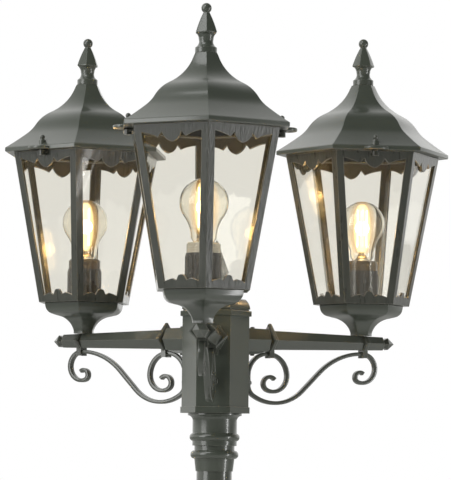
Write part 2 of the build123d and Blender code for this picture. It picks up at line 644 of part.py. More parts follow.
def make_arm_tip():
    groove, back = ARM_END + TIP_GROOVE_LENGTH, ARM_END + TIP_GROOVE_LENGTH + TIP_BACK_LENGTH
    point = back + TIP_POINT_LENGTH
    tip = loft([lying_hexagon(groove, TIP_GROOVE_FLAT), lying_hexagon(back, TIP_BASE_FLAT)], ruled=True)
    tip += loft([lying_hexagon(back, TIP_BASE_FLAT), lying_hexagon(point, 0.4)], ruled=True)
    tip += loft([lying_hexagon(ARM_END, TIP_GROOVE_FLAT), lying_hexagon(groove, TIP_GROOVE_FLAT)], ruled=True)
    rim = arm_half_height(ARM_END)
    tip += loft([lying_hexagon(ARM_END, rim), lying_hexagon(ARM_END + 1.2, rim - 1.2)], ruled=True)
    plug = Plane((ARM_END - TIP_PLUG_LENGTH, 0, 0), z_dir=(1, 0, 0)) * Circle(TIP_PLUG_R)
    return tip + extrude(plug, TIP_PLUG_LENGTH)


def make_collar(at, half_diagonal, bar_top, open_top):
    """A diamond-shaped collar on the arm with a fork that straddles the scroll bar under it."""
    start = at - COLLAR_THICKNESS / 2
    across = Plane((start, 0, 0), x_dir=(0, 1, 0), z_dir=(1, 0, 0))
    side = half_diagonal * sqrt(2)
    body = extrude(across * Rectangle(side, side, rotation=45), COLLAR_THICKNESS)
    body = chamfer(body.edges().filter_by(Axis.X, reverse=True), COLLAR_EDGE_CHAMFER)
    fork_foot = bar_top - BAR_THICKNESS - FORK_OVERHANG
    fork_width = BAR_WIDTH + 2 * BAR_CLEARANCE + 2 * FORK_PRONG
    fork_height = bar_top - fork_foot + FORK_ROOT
    body += Pos(at, 0, fork_foot + fork_height / 2) * Box(COLLAR_THICKNESS, fork_width, fork_height)
    slot_top = bar_top + BAR_CLEARANCE
    slot_foot = min(fork_foot, -half_diagonal) - 1
    body -= Pos(at, 0, (slot_top + slot_foot) / 2) * Box(
        2 * COLLAR_THICKNESS, BAR_WIDTH + 2 * BAR_CLEARANCE, slot_top - slot_foot)
    spare = Box(2 * COLLAR_THICKNESS, 2 * side, side)
    body -= Pos(at, 0, fork_foot - side / 2) * spare
    body -= lying_frustum(start - 1, start + COLLAR_THICKNESS + 1, COLLAR_CLEARANCE)
    if open_top:
        cut = arm_half_height(at + COLLAR_THICKNESS) - COLLAR_OPEN_LIP
        body -= Pos(at, 0, cut + side / 2) * spare
    return body


def scroll_steps():
    """The steps of the bar's path out from the hub, with the belly and the slant that make the ends meet."""
    rising = HEEL_TURN + BELLY_TURN - 90
    heel = running_path((0, 0), -90, [HEEL_RUN, (HEEL_R, HEEL_TURN)])[-1] @ 1
    crest = running_path((0, 0), rising, [(CREST_R, -rising)])[-1] @ 1
    across = LANTERN_REACH + OUTER_COLLAR_OUTSET / 2 - SCROLL_AT_HUB - heel.X - crest.X
    climb = SCROLL_SCREW_DROP - OUTER_ARCH_DROP - heel.Y - crest.Y
    belly = running_path((0, 0), HEEL_TURN - 90, [(1, BELLY_TURN)])[-1] @ 1
    slope = Vector(cos(radians(rising)), sin(radians(rising)))
    spread = belly.X * slope.Y - belly.Y * slope.X
    belly_r = (across * slope.Y - climb * slope.X) / spread
    slant = (belly.X * climb - belly.Y * across) / spread
    top_run = SCROLL_SCREW_DROP - INNER_ARCH_DROP - INNER_LOOP_R
    outward = [HEEL_RUN, (HEEL_R, HEEL_TURN), (belly_r, BELLY_TURN), slant, (CREST_R, -rising),
               (OUTER_LOOP_R, -OUTER_LOOP_TURN), (OUTER_EYE_R, -OUTER_EYE_TURN)]
    inward = [top_run, (INNER_LOOP_R, -180), (INNER_CURL_R, -INNER_CURL_TURN), (INNER_EYE_R, -INNER_EYE_TURN)]
    return outward, inward


def make_scroll():
    outward, inward = scroll_steps()
    start = (SCROLL_AT_HUB, -SCROLL_SCREW_DROP)
    bar = None
    for heading, steps in ((-90, outward), (90, inward)):
        path = Wire([Plane.XZ * edge for edge in running_path(start, heading, steps)])
        section = Plane(path @ 0, x_dir=(0, 1, 0), z_dir=path % 0) * Rectangle(BAR_WIDTH, BAR_THICKNESS)
        half = sweep(section, path=path)
        bar = half if bar is None else bar + half
    hole = Plane((0, 0, -SCROLL_SCREW_DROP), z_dir=(1, 0, 0)) * Circle(SMALL_SHANK_R + SMALL_CLEARANCE)
    return bar - extrude(hole, 2 * SCROLL_AT_HUB - 30)


# ---- Hub, cap and screws --------------------------------------------------------------------------
def make_hub():
    band_top = HUB_BOTTOM_Z + HUB_BAND_HEIGHT
    hub = hex_prism(HUB_FLAT, HUB_BOTTOM_Z, HUB_TOP_Z) + hex_prism(HUB_BAND_FLAT, HUB_BOTTOM_Z, band_top)
    seat = HUB_BOTTOM_Z + TUBE_TOP_IN_HUB
    inside = HUB_FLAT - HUB_WALL
    for heading in ARM_HEADINGS.values():
        outwards = Rot(0, 0, heading) * Pos(0, 0, ARM_Z)
        socket = outwards * lying_frustum(inside, SOCKET_END, SOCKET_WALL + SOCKET_CLEARANCE)
        top = -arm_half_height(SOCKET_END)
        gusset = upright_face(closed_lines(
            (inside, 0), (SOCKET_END, top + 1), (SOCKET_END, top - SOCKET_WALL),
            (GUSSET_FLAT_END, -GUSSET_FLAT_DROP), (GUSSET_FLAT_START, -GUSSET_FLAT_DROP),
            (GUSSET_ROOT, -GUSSET_ROOT_DROP), (inside, -GUSSET_ROOT_DROP)))
        pad = Plane((inside, 0, -SCROLL_SCREW_DROP), z_dir=(1, 0, 0)) * Circle(PAD_R)
        hub = hub + socket + outwards * extrude(gusset, GUSSET_WIDTH / 2, both=True)
        hub += outwards * extrude(pad, SCROLL_AT_HUB - BAR_THICKNESS / 2 - inside)
    hub -= hex_prism(HUB_FLAT - HUB_WALL, seat, HUB_TOP_Z + 1)
    hub -= disc(TUBE_R + FIT_CLEARANCE, HUB_BOTTOM_Z - 1, seat + 1)
    for heading in ARM_HEADINGS.values():
        outwards = Rot(0, 0, heading) * Pos(0, 0, ARM_Z)
        hub -= outwards * lying_frustum(20, SOCKET_END + 1, SOCKET_CLEARANCE)
        for side in (1, -1):
            hub -= outwards * Pos(SET_SCREW_AT, 0) * disc(SMALL_SHANK_R + SMALL_CLEARANCE, 0, side * 40)
        entry = Plane((HUB_FLAT - 2, 0, -SCROLL_SCREW_DROP), z_dir=(1, 0, 0))
        hub -= outwards * extrude(entry * Circle(SMALL_SHANK_R + SMALL_CLEARANCE), SCROLL_AT_HUB)
    return hub


def domed_screw(length):
    """A small screw pointing down -Z, with its head's seat at z = 0."""
    head = disc(SMALL_HEAD_R, 0, SMALL_HEAD_HEIGHT)
    head = chamfer(head.edges().group_by(Axis.Z)[-1], SMALL_HEAD_EDGE)
    return head + disc(SMALL_SHANK_R, -length, 0)


def make_hub_screws():
    arm_half = arm_half_height(SET_SCREW_AT)
    upper_seat = arm_half_height(SET_SCREW_AT - SMALL_HEAD_R) + SOCKET_CLEARANCE + SOCKET_WALL
    bar_face = SCROLL_AT_HUB + BAR_THICKNESS / 2
    screws = []
    for heading in ARM_HEADINGS.values():
        outwards = Rot(0, 0, heading) * Pos(0, 0, ARM_Z)
        upper = domed_screw(upper_seat - arm_half + SET_SCREW_GRIP)
        lower = Rot(180, 0, 0) * domed_screw(GUSSET_FLAT_DROP - arm_half + SET_SCREW_GRIP)
        scroll_screw = Rot(0, 90, 0) * domed_screw(bar_face - HUB_FLAT + SCROLL_SCREW_GRIP)
        screws.append(outwards * Pos(SET_SCREW_AT, 0, upper_seat) * upper)
        screws.append(outwards * Pos(SET_SCREW_AT, 0, -GUSSET_FLAT_DROP) * lower)
        screws.append(outwards * Pos(bar_face, 0, -SCROLL_SCREW_DROP) * scroll_screw)
    return screws


def make_hub_cap():
    foot = HUB_TOP_Z + SEAT_GAP / 3
    rim_top = foot + CAP_RIM_HEIGHT
    groove_top = rim_top + CAP_GROOVE_HEIGHT
    tier_top = groove_top + CAP_TIER_HEIGHT
    outline = [
        *Polyline((0, foot), (CAP_RIM_FLAT, foot), (CAP_RIM_FLAT, rim_top), (CAP_GROOVE_FLAT, rim_top),
                  (CAP_GROOVE_FLAT, groove_top), (CAP_TIER_FLAT, groove_top)).edges(),
        TangentArc((CAP_TIER_FLAT, groove_top), (CAP_TOP_FLAT, tier_top), tangent=(0, 1)),
        Line((CAP_TOP_FLAT, tier_top), (0, tier_top)),
        Line((0, tier_top), (0, foot)),
    ]
    spigot_flat = HUB_FLAT - HUB_WALL - 0.5
    cap = six_sided(outline, 2 * CAP_RIM_FLAT) + hex_prism(spigot_flat, foot - CAP_SPIGOT_DEPTH, foot)
    cap -= hex_prism(spigot_flat - 4, foot - CAP_SPIGOT_DEPTH - 1, groove_top)
    neck_top = tier_top + SPEAR_NECK_HEIGHT
    base_z = neck_top + SPEAR_BACK_HEIGHT
    cap += hex_frustum(CAP_TOP_FLAT - 9, tier_top, SPEAR_NECK_FLAT + 2, tier_top + 7)
    cap += hex_frustum(SPEAR_NECK_FLAT + 2, tier_top + 7, SPEAR_NECK_FLAT, neck_top)
    cap += hex_frustum(SPEAR_NECK_FLAT, neck_top, SPEAR_BASE_FLAT, base_z)
    return cap + hex_frustum(SPEAR_BASE_FLAT, base_z, 0.5, base_z + SPEAR_HEIGHT)


# ---- Post -----------------------------------------------------------------------------------------
def make_capital():
    """The turned head of the post, a sleeve around the tube under the hub."""
    top = HUB_BOTTOM_Z
    bore = TUBE_R + FIT_CLEARANCE

    def torus(z_high, z_low, neck, bulge):
        return [ThreePointArc((neck, z_high), (bulge, (z_high + z_low) / 2), (neck, z_low))]

    levels = [top - drop for drop in (0, *CAPITAL_STEPS, CAPITAL_HEIGHT)]
    outline = [
        Line((bore, top), (CAPITAL_FLANGE_R, top)),
        Line((CAPITAL_FLANGE_R, top), (CAPITAL_FLANGE_R, levels[1])),
        TangentArc((CAPITAL_FLANGE_R, levels[1]), (CAPITAL_COLLAR_R, levels[2]), tangent=(-1, -0.1)),
        Line((CAPITAL_COLLAR_R, levels[2]), (CAPITAL_COLLAR_R, levels[3])),
        *torus(levels[3], levels[4], CAPITAL_COLLAR_R, CAPITAL_RING_R),
        Line((CAPITAL_COLLAR_R, levels[4]), (CAPITAL_COLLAR_R, levels[5])),
        Line((CAPITAL_COLLAR_R, levels[5]), (CAPITAL_SMALL_R, levels[5])),
        Line((CAPITAL_SMALL_R, levels[5]), (CAPITAL_SMALL_R, levels[6])),
        *torus(levels[6], levels[7], CAPITAL_SMALL_R, CAPITAL_LOWER_RING_R),
        Line((CAPITAL_SMALL_R, levels[7]), (bore + 1, levels[8])),
        Line((bore + 1, levels[8]), (bore, levels[8])),
        Line((bore, levels[8]), (bore, top)),
    ]
    return turned(outline)


def make_upper_tube():
    top = HUB_BOTTOM_Z + TUBE_TOP_IN_HUB
    bottom = KNOP_MIDDLE - TUBE_BELOW_KNOP
    return disc(TUBE_R, bottom, top) - disc(TUBE_R - TUBE_WALL, bottom - 1, top + 1)


def make_knop():
    """The turned knop that joins the tube to the lower column."""
    bore = TUBE_R + FIT_CLEARANCE
    low, high = KNOP_MIDDLE - KNOP_HALF_HEIGHT, KNOP_MIDDLE + KNOP_HALF_HEIGHT
    foot_r, neck_r, lip_r = COLUMN_TOP_R + KNOP_LIP, TUBE_R + 2 * KNOP_LIP, TUBE_R + KNOP_LIP
    band_top = low + KNOP_BAND
    bead_top = band_top + KNOP_BEAD_HEIGHT
    ring_foot, ring_top = high - 3 * KNOP_RING_HALF_HEIGHT, high - KNOP_RING_HALF_HEIGHT
    outline = [
        Line((bore, low), (foot_r, low)),
        Line((foot_r, low), (foot_r, band_top)),
        ThreePointArc((foot_r, band_top), (KNOP_BEAD_R, (band_top + bead_top) / 2), (COLUMN_TOP_R, bead_top)),
        TangentArc((COLUMN_TOP_R, bead_top), (KNOP_R, KNOP_MIDDLE), tangent=(0.2, 1)),
        TangentArc((neck_r, ring_foot), (KNOP_R, KNOP_MIDDLE), tangent=(0.1, -1)),
        ThreePointArc((neck_r, ring_foot), (KNOP_RING_R, (ring_foot + ring_top) / 2), (neck_r, ring_top)),
        Line((neck_r, ring_top), (lip_r, high)),
        Line((lip_r, high), (bore, high)),
        Line((bore, high), (bore, low)),
    ]
    return turned(outline)


def make_lower_column():
    """A tapering fluted column, hollow, that takes the tube's end in its head."""
    top = KNOP_MIDDLE - KNOP_HALF_HEIGHT
    bottom = COLUMN_BOTTOM

    def cone(grow):
        foot, head = Circle(COLUMN_BOTTOM_R + grow), Circle(COLUMN_TOP_R + grow)
        return loft([Pos(0, 0, bottom) * foot, Pos(0, 0, top) * head], ruled=True)

    column = cone(0)
    for spot in PolarLocations(1, FLUTE_COUNT):
        low = Pos(0, 0, bottom) * spot * Pos(COLUMN_BOTTOM_R + FLUTE_BOTTOM_R - FLUTE_DEPTH - 1, 0)
        high = Pos(0, 0, top) * spot * Pos(COLUMN_TOP_R + FLUTE_TOP_R - FLUTE_DEPTH - 1, 0)
        flute = loft([low * Circle(FLUTE_BOTTOM_R), high * Circle(FLUTE_TOP_R)], ruled=True)
        column -= flute & disc(2 * COLUMN_BOTTOM_R, bottom + FLUTE_END, top - FLUTE_END)
    return column - cone(FIT_CLEARANCE - COLUMN_WALL)


def make_foot():
    """A bell-shaped foot with a bolting flange, open below, and a bridge for the terminal block."""
    bell_foot = FOOT_FLANGE_THICKNESS + FOOT_BEAD_HEIGHT
    waist_z = FOOT_HEIGHT - FOOT_NECK_HEIGHT
    ring_top = waist_z + FOOT_RING_HEIGHT

    def bell(wall):
        return TangentArc((FOOT_WAIST_R - wall, waist_z), (FOOT_BELL_R - wall, bell_foot), tangent=(0.06, -1))

    flange = Vector(FOOT_FLANGE_R, FOOT_FLANGE_THICKNESS)
    bead = Vector(FOOT_BELL_R, FOOT_FLANGE_THICKNESS)
    foot = turned([
        Line((0, 0), (FOOT_FLANGE_R, 0)),
        Line((FOOT_FLANGE_R, 0), flange),
        Line(flange, bead),
        ThreePointArc(bead, bead + Vector(FOOT_BEAD_HEIGHT / 2, FOOT_BEAD_HEIGHT / 2), bell(0) @ 1),
        bell(0),
        ThreePointArc(bell(0) @ 0, (FOOT_WAIST_R + FOOT_RING_OUT, waist_z + FOOT_RING_HEIGHT / 2),
                      (FOOT_WAIST_R, ring_top)),
        Line((FOOT_WAIST_R, ring_top), (FOOT_TOP_R, FOOT_HEIGHT)),
        Line((FOOT_TOP_R, FOOT_HEIGHT), (0, FOOT_HEIGHT)),
        Line((0, FOOT_HEIGHT), (0, 0)),
    ])
    cavity_top = COLUMN_BOTTOM - COLUMN_SEAT_THICKNESS
    cavity_top_r = COLUMN_BOTTOM_R - FOOT_WALL
    inner = bell(FOOT_WALL)
    cavity = turned([
        Line((0, -1), ((inner @ 1).X, -1)),
        Line(((inner @ 1).X, -1), inner @ 1),
        inner,
        Line(inner @ 0, (cavity_top_r, cavity_top)),
        Line((cavity_top_r, cavity_top), (0, cavity_top)),
        Line((0, cavity_top), (0, -1)),
    ])
    bridge = Box(2 * FOOT_BELL_R, BRIDGE_WIDTH, BRIDGE_THICKNESS)
    foot -= cavity - Pos(0, 0, BRIDGE_HEIGHT + BRIDGE_THICKNESS / 2) * bridge
    foot -= disc(COLUMN_BOTTOM_R + FIT_CLEARANCE, COLUMN_BOTTOM, FOOT_HEIGHT + 1)
    foot -= disc(TUBE_R, cavity_top - 1, COLUMN_BOTTOM + 1)
    for spot in PolarLocations(BOLT_CIRCLE_R, BOLT_COUNT, start_angle=45):
        foot -= spot * disc(BOLT_HOLE_R, -1, FOOT_FLANGE_THICKNESS + 1)
    return foot


def make_terminal_block():
    length, width, height = TERMINAL_SIZE
    seat = BRIDGE_HEIGHT + BRIDGE_THICKNESS
    block = Pos(0, 0, seat + height / 2) * Box(length, width, height)
    step = length / TERMINAL_WAYS
    for way in range(TERMINAL_WAYS):
        x = (way - (TERMINAL_WAYS - 1) / 2) * step
        entry = Plane((x, -width, seat + height / 3), z_dir=(0, 1, 0)) * Circle(3)
        block = block - extrude(entry, 2 * width) - Pos(x, 0) * disc(2.2, seat + height / 2, seat + height + 1)
    return block


# ---- Assembly -------------------------------------------------------------------------------------
def lantern_pieces():
    return {
        "roof": make_roof(),
        "finial": make_finial(),
        "roof_screws": make_roof_screws(),
        "cage": make_cage(),
        "panes": make_panes(),
        "base": make_base(),
        "stem": make_stem(),
        "lampholder": make_lampholder(),
        "holder_insert": make_holder_insert(),
        "bulb_glass": make_bulb_glass(),
        "bulb_cap": make_bulb_cap(),
        "filament": make_filament(),
    }


def arm_pieces():
    return {
        "arm": make_arm(),
        "arm_tip": make_arm_tip(),
        "inner_collar": make_collar(INNER_COLLAR_AT, INNER_COLLAR_HALF_DIAGONAL,
                                    BAR_THICKNESS / 2 - INNER_ARCH_DROP, open_top=False),
        "outer_collar": make_collar(OUTER_COLLAR_AT, OUTER_COLLAR_HALF_DIAGONAL,
                                    BAR_THICKNESS / 2 - OUTER_ARCH_DROP, open_top=True),
        "scroll": make_scroll(),
    }


def post_pieces():
    return {
        "hub": make_hub(),
        "hub_cap": make_hub_cap(),
        "hub_screws": make_hub_screws(),
        "post_capital": make_capital(),
        "upper_tube": make_upper_tube(),
        "knop": make_knop(),
        "lower_column": make_lower_column(),
        "foot": make_foot(),
        "terminal_block": make_terminal_block(),
    }


def placed(pieces, where):
    """One node: a piece, or a list of separate pieces, put in its place."""
    if not isinstance(pieces, list):
        return where * pieces
    return Compound(children=[where * piece for piece in pieces])


def assembly():
    nodes = {name: placed(piece, Pos(0, 0, 0)) for name, piece in post_pieces().items()}
    lantern, arm = lantern_pieces(), arm_pieces()
    for side, heading in ARM_HEADINGS.items():
        on_arm = Rot(0, 0, heading) * Pos(0, 0, ARM_Z)
        on_stem = Rot(0, 0, heading) * Pos(LANTERN_REACH, 0, EAVES_Z) * Rot(0, 0, LANTERN_TURNS[side])
        nodes.update({f"{side}_{name}": placed(piece, on_arm) for name, piece in arm.items()})
        nodes.update({f"{side}_{name}": placed(piece, on_stem) for name, piece in lantern.items()})
    return nodes


os.makedirs("parts", exist_ok=True)
for node, shape in assembly().items():
    export_step(shape, f"parts/{node}.step")
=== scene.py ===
# %% [markdown]
# # A garden lamp post with three lanterns
# The metalwork comes from the CAD model and is loaded here as it is. This lesson gives it the finishes of the
# real thing: satin paint on cast metal, clear glass, lit bulbs. It also rebuilds the pieces that show as
# smooth, so that they are round and soft-edged, and adds what the CAD model leaves out: the lampholders'
# threads and the bulbs' glow.

# %% Load the model
import math

import bmesh
import bpy
from mathutils import Matrix, Vector


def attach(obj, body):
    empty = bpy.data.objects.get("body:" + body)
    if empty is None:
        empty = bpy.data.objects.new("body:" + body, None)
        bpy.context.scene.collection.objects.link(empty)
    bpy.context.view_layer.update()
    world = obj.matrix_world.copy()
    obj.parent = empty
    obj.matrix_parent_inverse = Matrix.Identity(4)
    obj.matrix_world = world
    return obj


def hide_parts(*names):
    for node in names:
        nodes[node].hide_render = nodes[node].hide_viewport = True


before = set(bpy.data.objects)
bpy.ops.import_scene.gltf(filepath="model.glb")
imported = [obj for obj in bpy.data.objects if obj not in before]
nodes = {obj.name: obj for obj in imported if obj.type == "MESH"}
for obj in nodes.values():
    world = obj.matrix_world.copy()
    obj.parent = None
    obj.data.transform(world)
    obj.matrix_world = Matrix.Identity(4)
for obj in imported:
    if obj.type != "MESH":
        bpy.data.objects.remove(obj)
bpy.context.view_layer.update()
print("CAD nodes:", len(nodes))

# %% [markdown]
# ## The camera
# The picture was taken from about four metres with a long lens, from a little below the lanterns, so
# verticals stay nearly parallel and the undersides of the eaves show. Yaw, pitch and roll are turned into a
# matrix.

# %% Place the camera
EAVES_Z = 2.044
CAMERA_DISTANCE = 3.9964
CAMERA_DROP = 0.4186
LENS = 245.9
AZIMUTH, YAW, PITCH, ROLL = (math.radians(a) for a in (4.36, 4.20, 4.24, 0.67))

forward = Vector((-math.sin(YAW) * math.cos(PITCH), math.cos(YAW) * math.cos(PITCH), math.sin(PITCH)))
level_right = forward.cross(Vector((0, 0, 1))).normalized()
level_up = level_right.cross(forward)
right = level_right * math.cos(ROLL) + level_up * math.sin(ROLL)
up = level_up * math.cos(ROLL) - level_right * math.sin(ROLL)

camera_data = bpy.data.cameras.new("camera")
camera_data.sensor_fit = "HORIZONTAL"
camera_data.sensor_width = 36
camera_data.lens = LENS
camera = bpy.data.objects.new("camera", camera_data)
turn = Matrix((right, up, -forward)).transposed().to_4x4()
eye = Vector((CAMERA_DISTANCE * math.sin(AZIMUTH), -CAMERA_DISTANCE * math.cos(AZIMUTH),
              EAVES_Z - CAMERA_DROP))
camera.matrix_world = Matrix.Translation(eye) @ turn
bpy.context.scene.collection.objects.link(camera)
bpy.context.scene.camera = camera
bpy.context.scene.view_settings.view_transform = "Standard"
print("camera at", [round(c, 3) for c in eye])

# %% [markdown]
# ## The world
# Such a post is photographed on white paper between soft boxes. The world is plain white where the camera
# sees it, also through glass, and a soft grey for the light that it gives. Gloss mirrors a white cove behind
# the post and to its left, and a dark room in front of it: that draws the pale bands and bright edges on dark
# paint.

# %% Build the world
def node_tree(owner):
    owner.use_nodes = True
    owner.node_tree.nodes.clear()
    return owner.node_tree


def link(tree, start, end):
    tree.links.new(start, end)


def background(tree, colour, strength):
    node = tree.nodes.new("ShaderNodeBackground")
    node.inputs["Color"].default_value = colour
    node.inputs["Strength"].default_value = strength
    return node


def mix_by(tree, share, first, second):
    node = tree.nodes.new("ShaderNodeMixShader")
    link(tree, share, node.inputs[0])
    link(tree, first, node.inputs[1])
    link(tree, second, node.inputs[2])
    return node.outputs[0]


world = bpy.data.worlds.new("studio")
bpy.context.scene.world = world
TOWARDS_COVE = (-0.38, 0.8, -0.35)
COVE_BEGINS, COVE_FULL = -0.25, 0.35
tree = node_tree(world)
path = tree.nodes.new("ShaderNodeLightPath")
straight = tree.nodes.new("ShaderNodeMath")
straight.operation = "MAXIMUM"
link(tree, path.outputs["Is Camera Ray"], straight.inputs[0])
link(tree, path.outputs["Is Transmission Ray"], straight.inputs[1])
towards_cove = tree.nodes.new("ShaderNodeVectorMath")
towards_cove.operation = "DOT_PRODUCT"
link(tree, tree.nodes.new("ShaderNodeTexCoord").outputs["Generated"], towards_cove.inputs[0])
towards_cove.inputs[1].default_value = TOWARDS_COVE
cove = tree.nodes.new("ShaderNodeMapRange")
cove.inputs["From Min"].default_value = COVE_BEGINS
cove.inputs["From Max"].default_value = COVE_FULL
link(tree, towards_cove.outputs["Value"], cove.inputs["Value"])
light_share = background(tree, (0.9, 0.9, 0.86, 1), strength=0.42)
seen_share = background(tree, (1, 1, 1, 1), strength=1)
dark_room = background(tree, (0.5, 0.52, 0.5, 1), strength=0.12)
bright_cove = background(tree, (1, 1, 0.98, 1), strength=0.95)
mirrored = mix_by(tree, cove.outputs["Result"], dark_room.outputs[0], bright_cove.outputs[0])
lit = mix_by(tree, path.outputs["Is Glossy Ray"], light_share.outputs[0], mirrored)
out = tree.nodes.new("ShaderNodeOutputWorld")
link(tree, mix_by(tree, straight.outputs[0], lit, seen_share.outputs[0]), out.inputs["Surface"])
print("world nodes:", len(tree.nodes))

# %% [markdown]
# ## Lamps and paper
# A large soft box on the left and one above bring out the shapes of the castings. A narrow strip on the right
# draws one thin bright line down the round pieces. The paper is lifted towards white for the camera only, so
# it keeps the post's shadow and throws no extra light.

# %% Hang the lamps and lay the paper
def soft_box(name, position, target, size, power):
    data = bpy.data.lights.new(name, "AREA")
    data.shape = "RECTANGLE"
    data.size, data.size_y = size
    data.energy = power
    lamp = bpy.data.objects.new(name, data)
    aim = (Vector(target) - Vector(position)).to_track_quat("-Z", "Y").to_matrix().to_4x4()
    lamp.matrix_world = Matrix.Translation(position) @ aim
    bpy.context.scene.collection.objects.link(lamp)


HEADS, TUBE_MIDDLE = (0, 0, 1.95), (0, 0, 1.3)
soft_box("box_left", (-2.8, -2.0, 2.7), HEADS, size=(1.8, 2.6), power=52)
soft_box("strip_right", (2.6, -0.75, 1.3), TUBE_MIDDLE, size=(0.3, 1.7), power=20)
soft_box("box_top", (-1.3, -1.5, 4.3), HEADS, size=(2.0, 1.6), power=30)

FLOOR_HALF, FLOOR_DROP, PAPER_LIFT = 40, 0.001, 0.4
floor_mesh = bpy.data.meshes.new("floor")
floor_mesh.from_pydata([(x * FLOOR_HALF, y * FLOOR_HALF, -FLOOR_DROP)
                        for x, y in ((-1, -1), (1, -1), (1, 1), (-1, 1))], [], [(0, 1, 2, 3)])
floor = bpy.data.objects.new("floor", floor_mesh)
bpy.context.scene.collection.objects.link(floor)
paper = bpy.data.materials.new("white_paper")
tree = node_tree(paper)
surface = tree.nodes.new("ShaderNodeBsdfPrincipled")
surface.inputs["Base Color"].default_value = (0.85, 0.85, 0.84, 1)
surface.inputs["Roughness"].default_value = 0.9
surface.inputs["Emission Color"].default_value = (1, 1, 1, 1)
lift = tree.nodes.new("ShaderNodeMath")
lift.operation = "MULTIPLY"
link(tree, tree.nodes.new("ShaderNodeLightPath").outputs["Is Camera Ray"], lift.inputs[0])
lift.inputs[1].default_value = PAPER_LIFT
link(tree, lift.outputs[0], surface.inputs["Emission Strength"])
out = tree.nodes.new("ShaderNodeOutputMaterial")
link(tree, surface.outputs[0], out.inputs["Surface"])
floor_mesh.materials.append(paper)

# %% [markdown]
# ## Shared effects
# Cast metal under paint is never quite flat: the mould leaves a fine ripple, and the paint pools a little.
# Both come from noise on the object's own coordinates. A second effect makes corners paler: partly paint that
# handling has polished, partly a painted highlight for the glint that light draws along an edge. It compares
# the softened normal with the true one, and the two differ only near a corner. Each is a node group with named
# inputs, so that every finish can use it with its own strength.

# %% Build the effect groups
def new_group(name, inputs, outputs):
    group = bpy.data.node_groups.new(name, "ShaderNodeTree")
    for label, kind, value in inputs:
        socket = group.interface.new_socket(name=label, in_out="INPUT", socket_type=kind)
        if value is not None:
            socket.default_value = value
    for label, kind in outputs:
        group.interface.new_socket(name=label, in_out="OUTPUT", socket_type=kind)
    start = group.nodes.new("NodeGroupInput")
    end = group.nodes.new("NodeGroupOutput")
    return group, start, end


def feed(tree, socket, value):
    """Links an output to a socket, or sets the socket to a plain value."""
    if isinstance(value, bpy.types.NodeSocket):
        link(tree, value, socket)
    else:
        socket.default_value = value


def noise(tree, vector, scale, detail):
    texture = tree.nodes.new("ShaderNodeTexNoise")
    feed(tree, texture.inputs["Scale"], scale)
    texture.inputs["Detail"].default_value = detail
    link(tree, vector, texture.inputs["Vector"])
    return texture.outputs["Fac"]


def math_node(tree, operation, *values):
    node = tree.nodes.new("ShaderNodeMath")
    node.operation = operation
    for socket, value in zip(node.inputs, values):
        feed(tree, socket, value)
    return node.outputs[0]


def mix_colour(tree, share, first, second):
    """Mixes two colours. On a Mix node they are inputs 6 and 7, and the result is output 2."""
    node = tree.nodes.new("ShaderNodeMix")
    node.data_type = "RGBA"
    for socket, value in ((node.inputs[0], share), (node.inputs[6], first), (node.inputs[7], second)):
        feed(tree, socket, value)
    return node.outputs[2]


cast_group, start, end = new_group(
    "cast_surface",
    [("Vector", "NodeSocketVector", None), ("Colour", "NodeSocketColor", (0.1, 0.1, 0.1, 1)),
     ("Pooled Colour", "NodeSocketColor", (0.05, 0.05, 0.05, 1)), ("Ripple Scale", "NodeSocketFloat", 350.0),
     ("Patch Scale", "NodeSocketFloat", 22.0), ("Roughness", "NodeSocketFloat", 0.4),
     ("Roughness Spread", "NodeSocketFloat", 0.15)],
    [("Colour", "NodeSocketColor"), ("Roughness", "NodeSocketFloat"), ("Height", "NodeSocketFloat")])
patches = noise(cast_group, start.outputs["Vector"], start.outputs["Patch Scale"], detail=4)
ripple = noise(cast_group, start.outputs["Vector"], start.outputs["Ripple Scale"], detail=2)
link(cast_group, mix_colour(cast_group, patches, start.outputs["Pooled Colour"], start.outputs["Colour"]),
     end.inputs["Colour"])
spread = math_node(cast_group, "MULTIPLY", patches, start.outputs["Roughness Spread"])
link(cast_group, math_node(cast_group, "ADD", start.outputs["Roughness"], spread), end.inputs["Roughness"])
link(cast_group, ripple, end.inputs["Height"])

# Pales the corners: paint polished by handling, and a painted highlight for the glint of light on an edge.
wear_and_glint_group, start, end = new_group(
    "worn_edge",
    [("Soft Normal", "NodeSocketVector", None), ("Hard Normal", "NodeSocketVector", None),
     ("Colour", "NodeSocketColor", (0.1, 0.1, 0.1, 1)),
     ("Edge Colour", "NodeSocketColor", (0.3, 0.3, 0.3, 1)), ("Amount", "NodeSocketFloat", 1.0)],
    [("Colour", "NodeSocketColor")])
dot = wear_and_glint_group.nodes.new("ShaderNodeVectorMath")
dot.operation = "DOT_PRODUCT"
link(wear_and_glint_group, start.outputs["Soft Normal"], dot.inputs[0])
link(wear_and_glint_group, start.outputs["Hard Normal"], dot.inputs[1])
turned_away = math_node(wear_and_glint_group, "SUBTRACT", 1.0, dot.outputs["Value"])
mask = math_node(wear_and_glint_group, "MULTIPLY", turned_away, start.outputs["Amount"])
mask = math_node(wear_and_glint_group, "MINIMUM", mask, 1.0)
link(wear_and_glint_group, mix_colour(wear_and_glint_group, mask, start.outputs["Colour"], start.outputs["Edge Colour"]),
     end.inputs["Colour"])
print("groups:", [g.name for g in bpy.data.node_groups])

# %% [markdown]
# ## Paint
# The paint is a dark grey-green, satin on the castings and a little glossier on the bars. On the cages it is
# darker, and its ripple and patches are drawn out along the posts into light and dark streaks, which are
# painted reflections. The Bevel node rounds the corners of the shading by about a millimetre, as paint does,
# and the same corners are paler: partly where handling has polished them, partly a painted highlight.

# %% Mix the paints
def use_group(tree, group, **values):
    node = tree.nodes.new("ShaderNodeGroup")
    node.node_tree = group
    for label, value in values.items():
        feed(tree, node.inputs[label.replace("_", " ")], value)
    return node


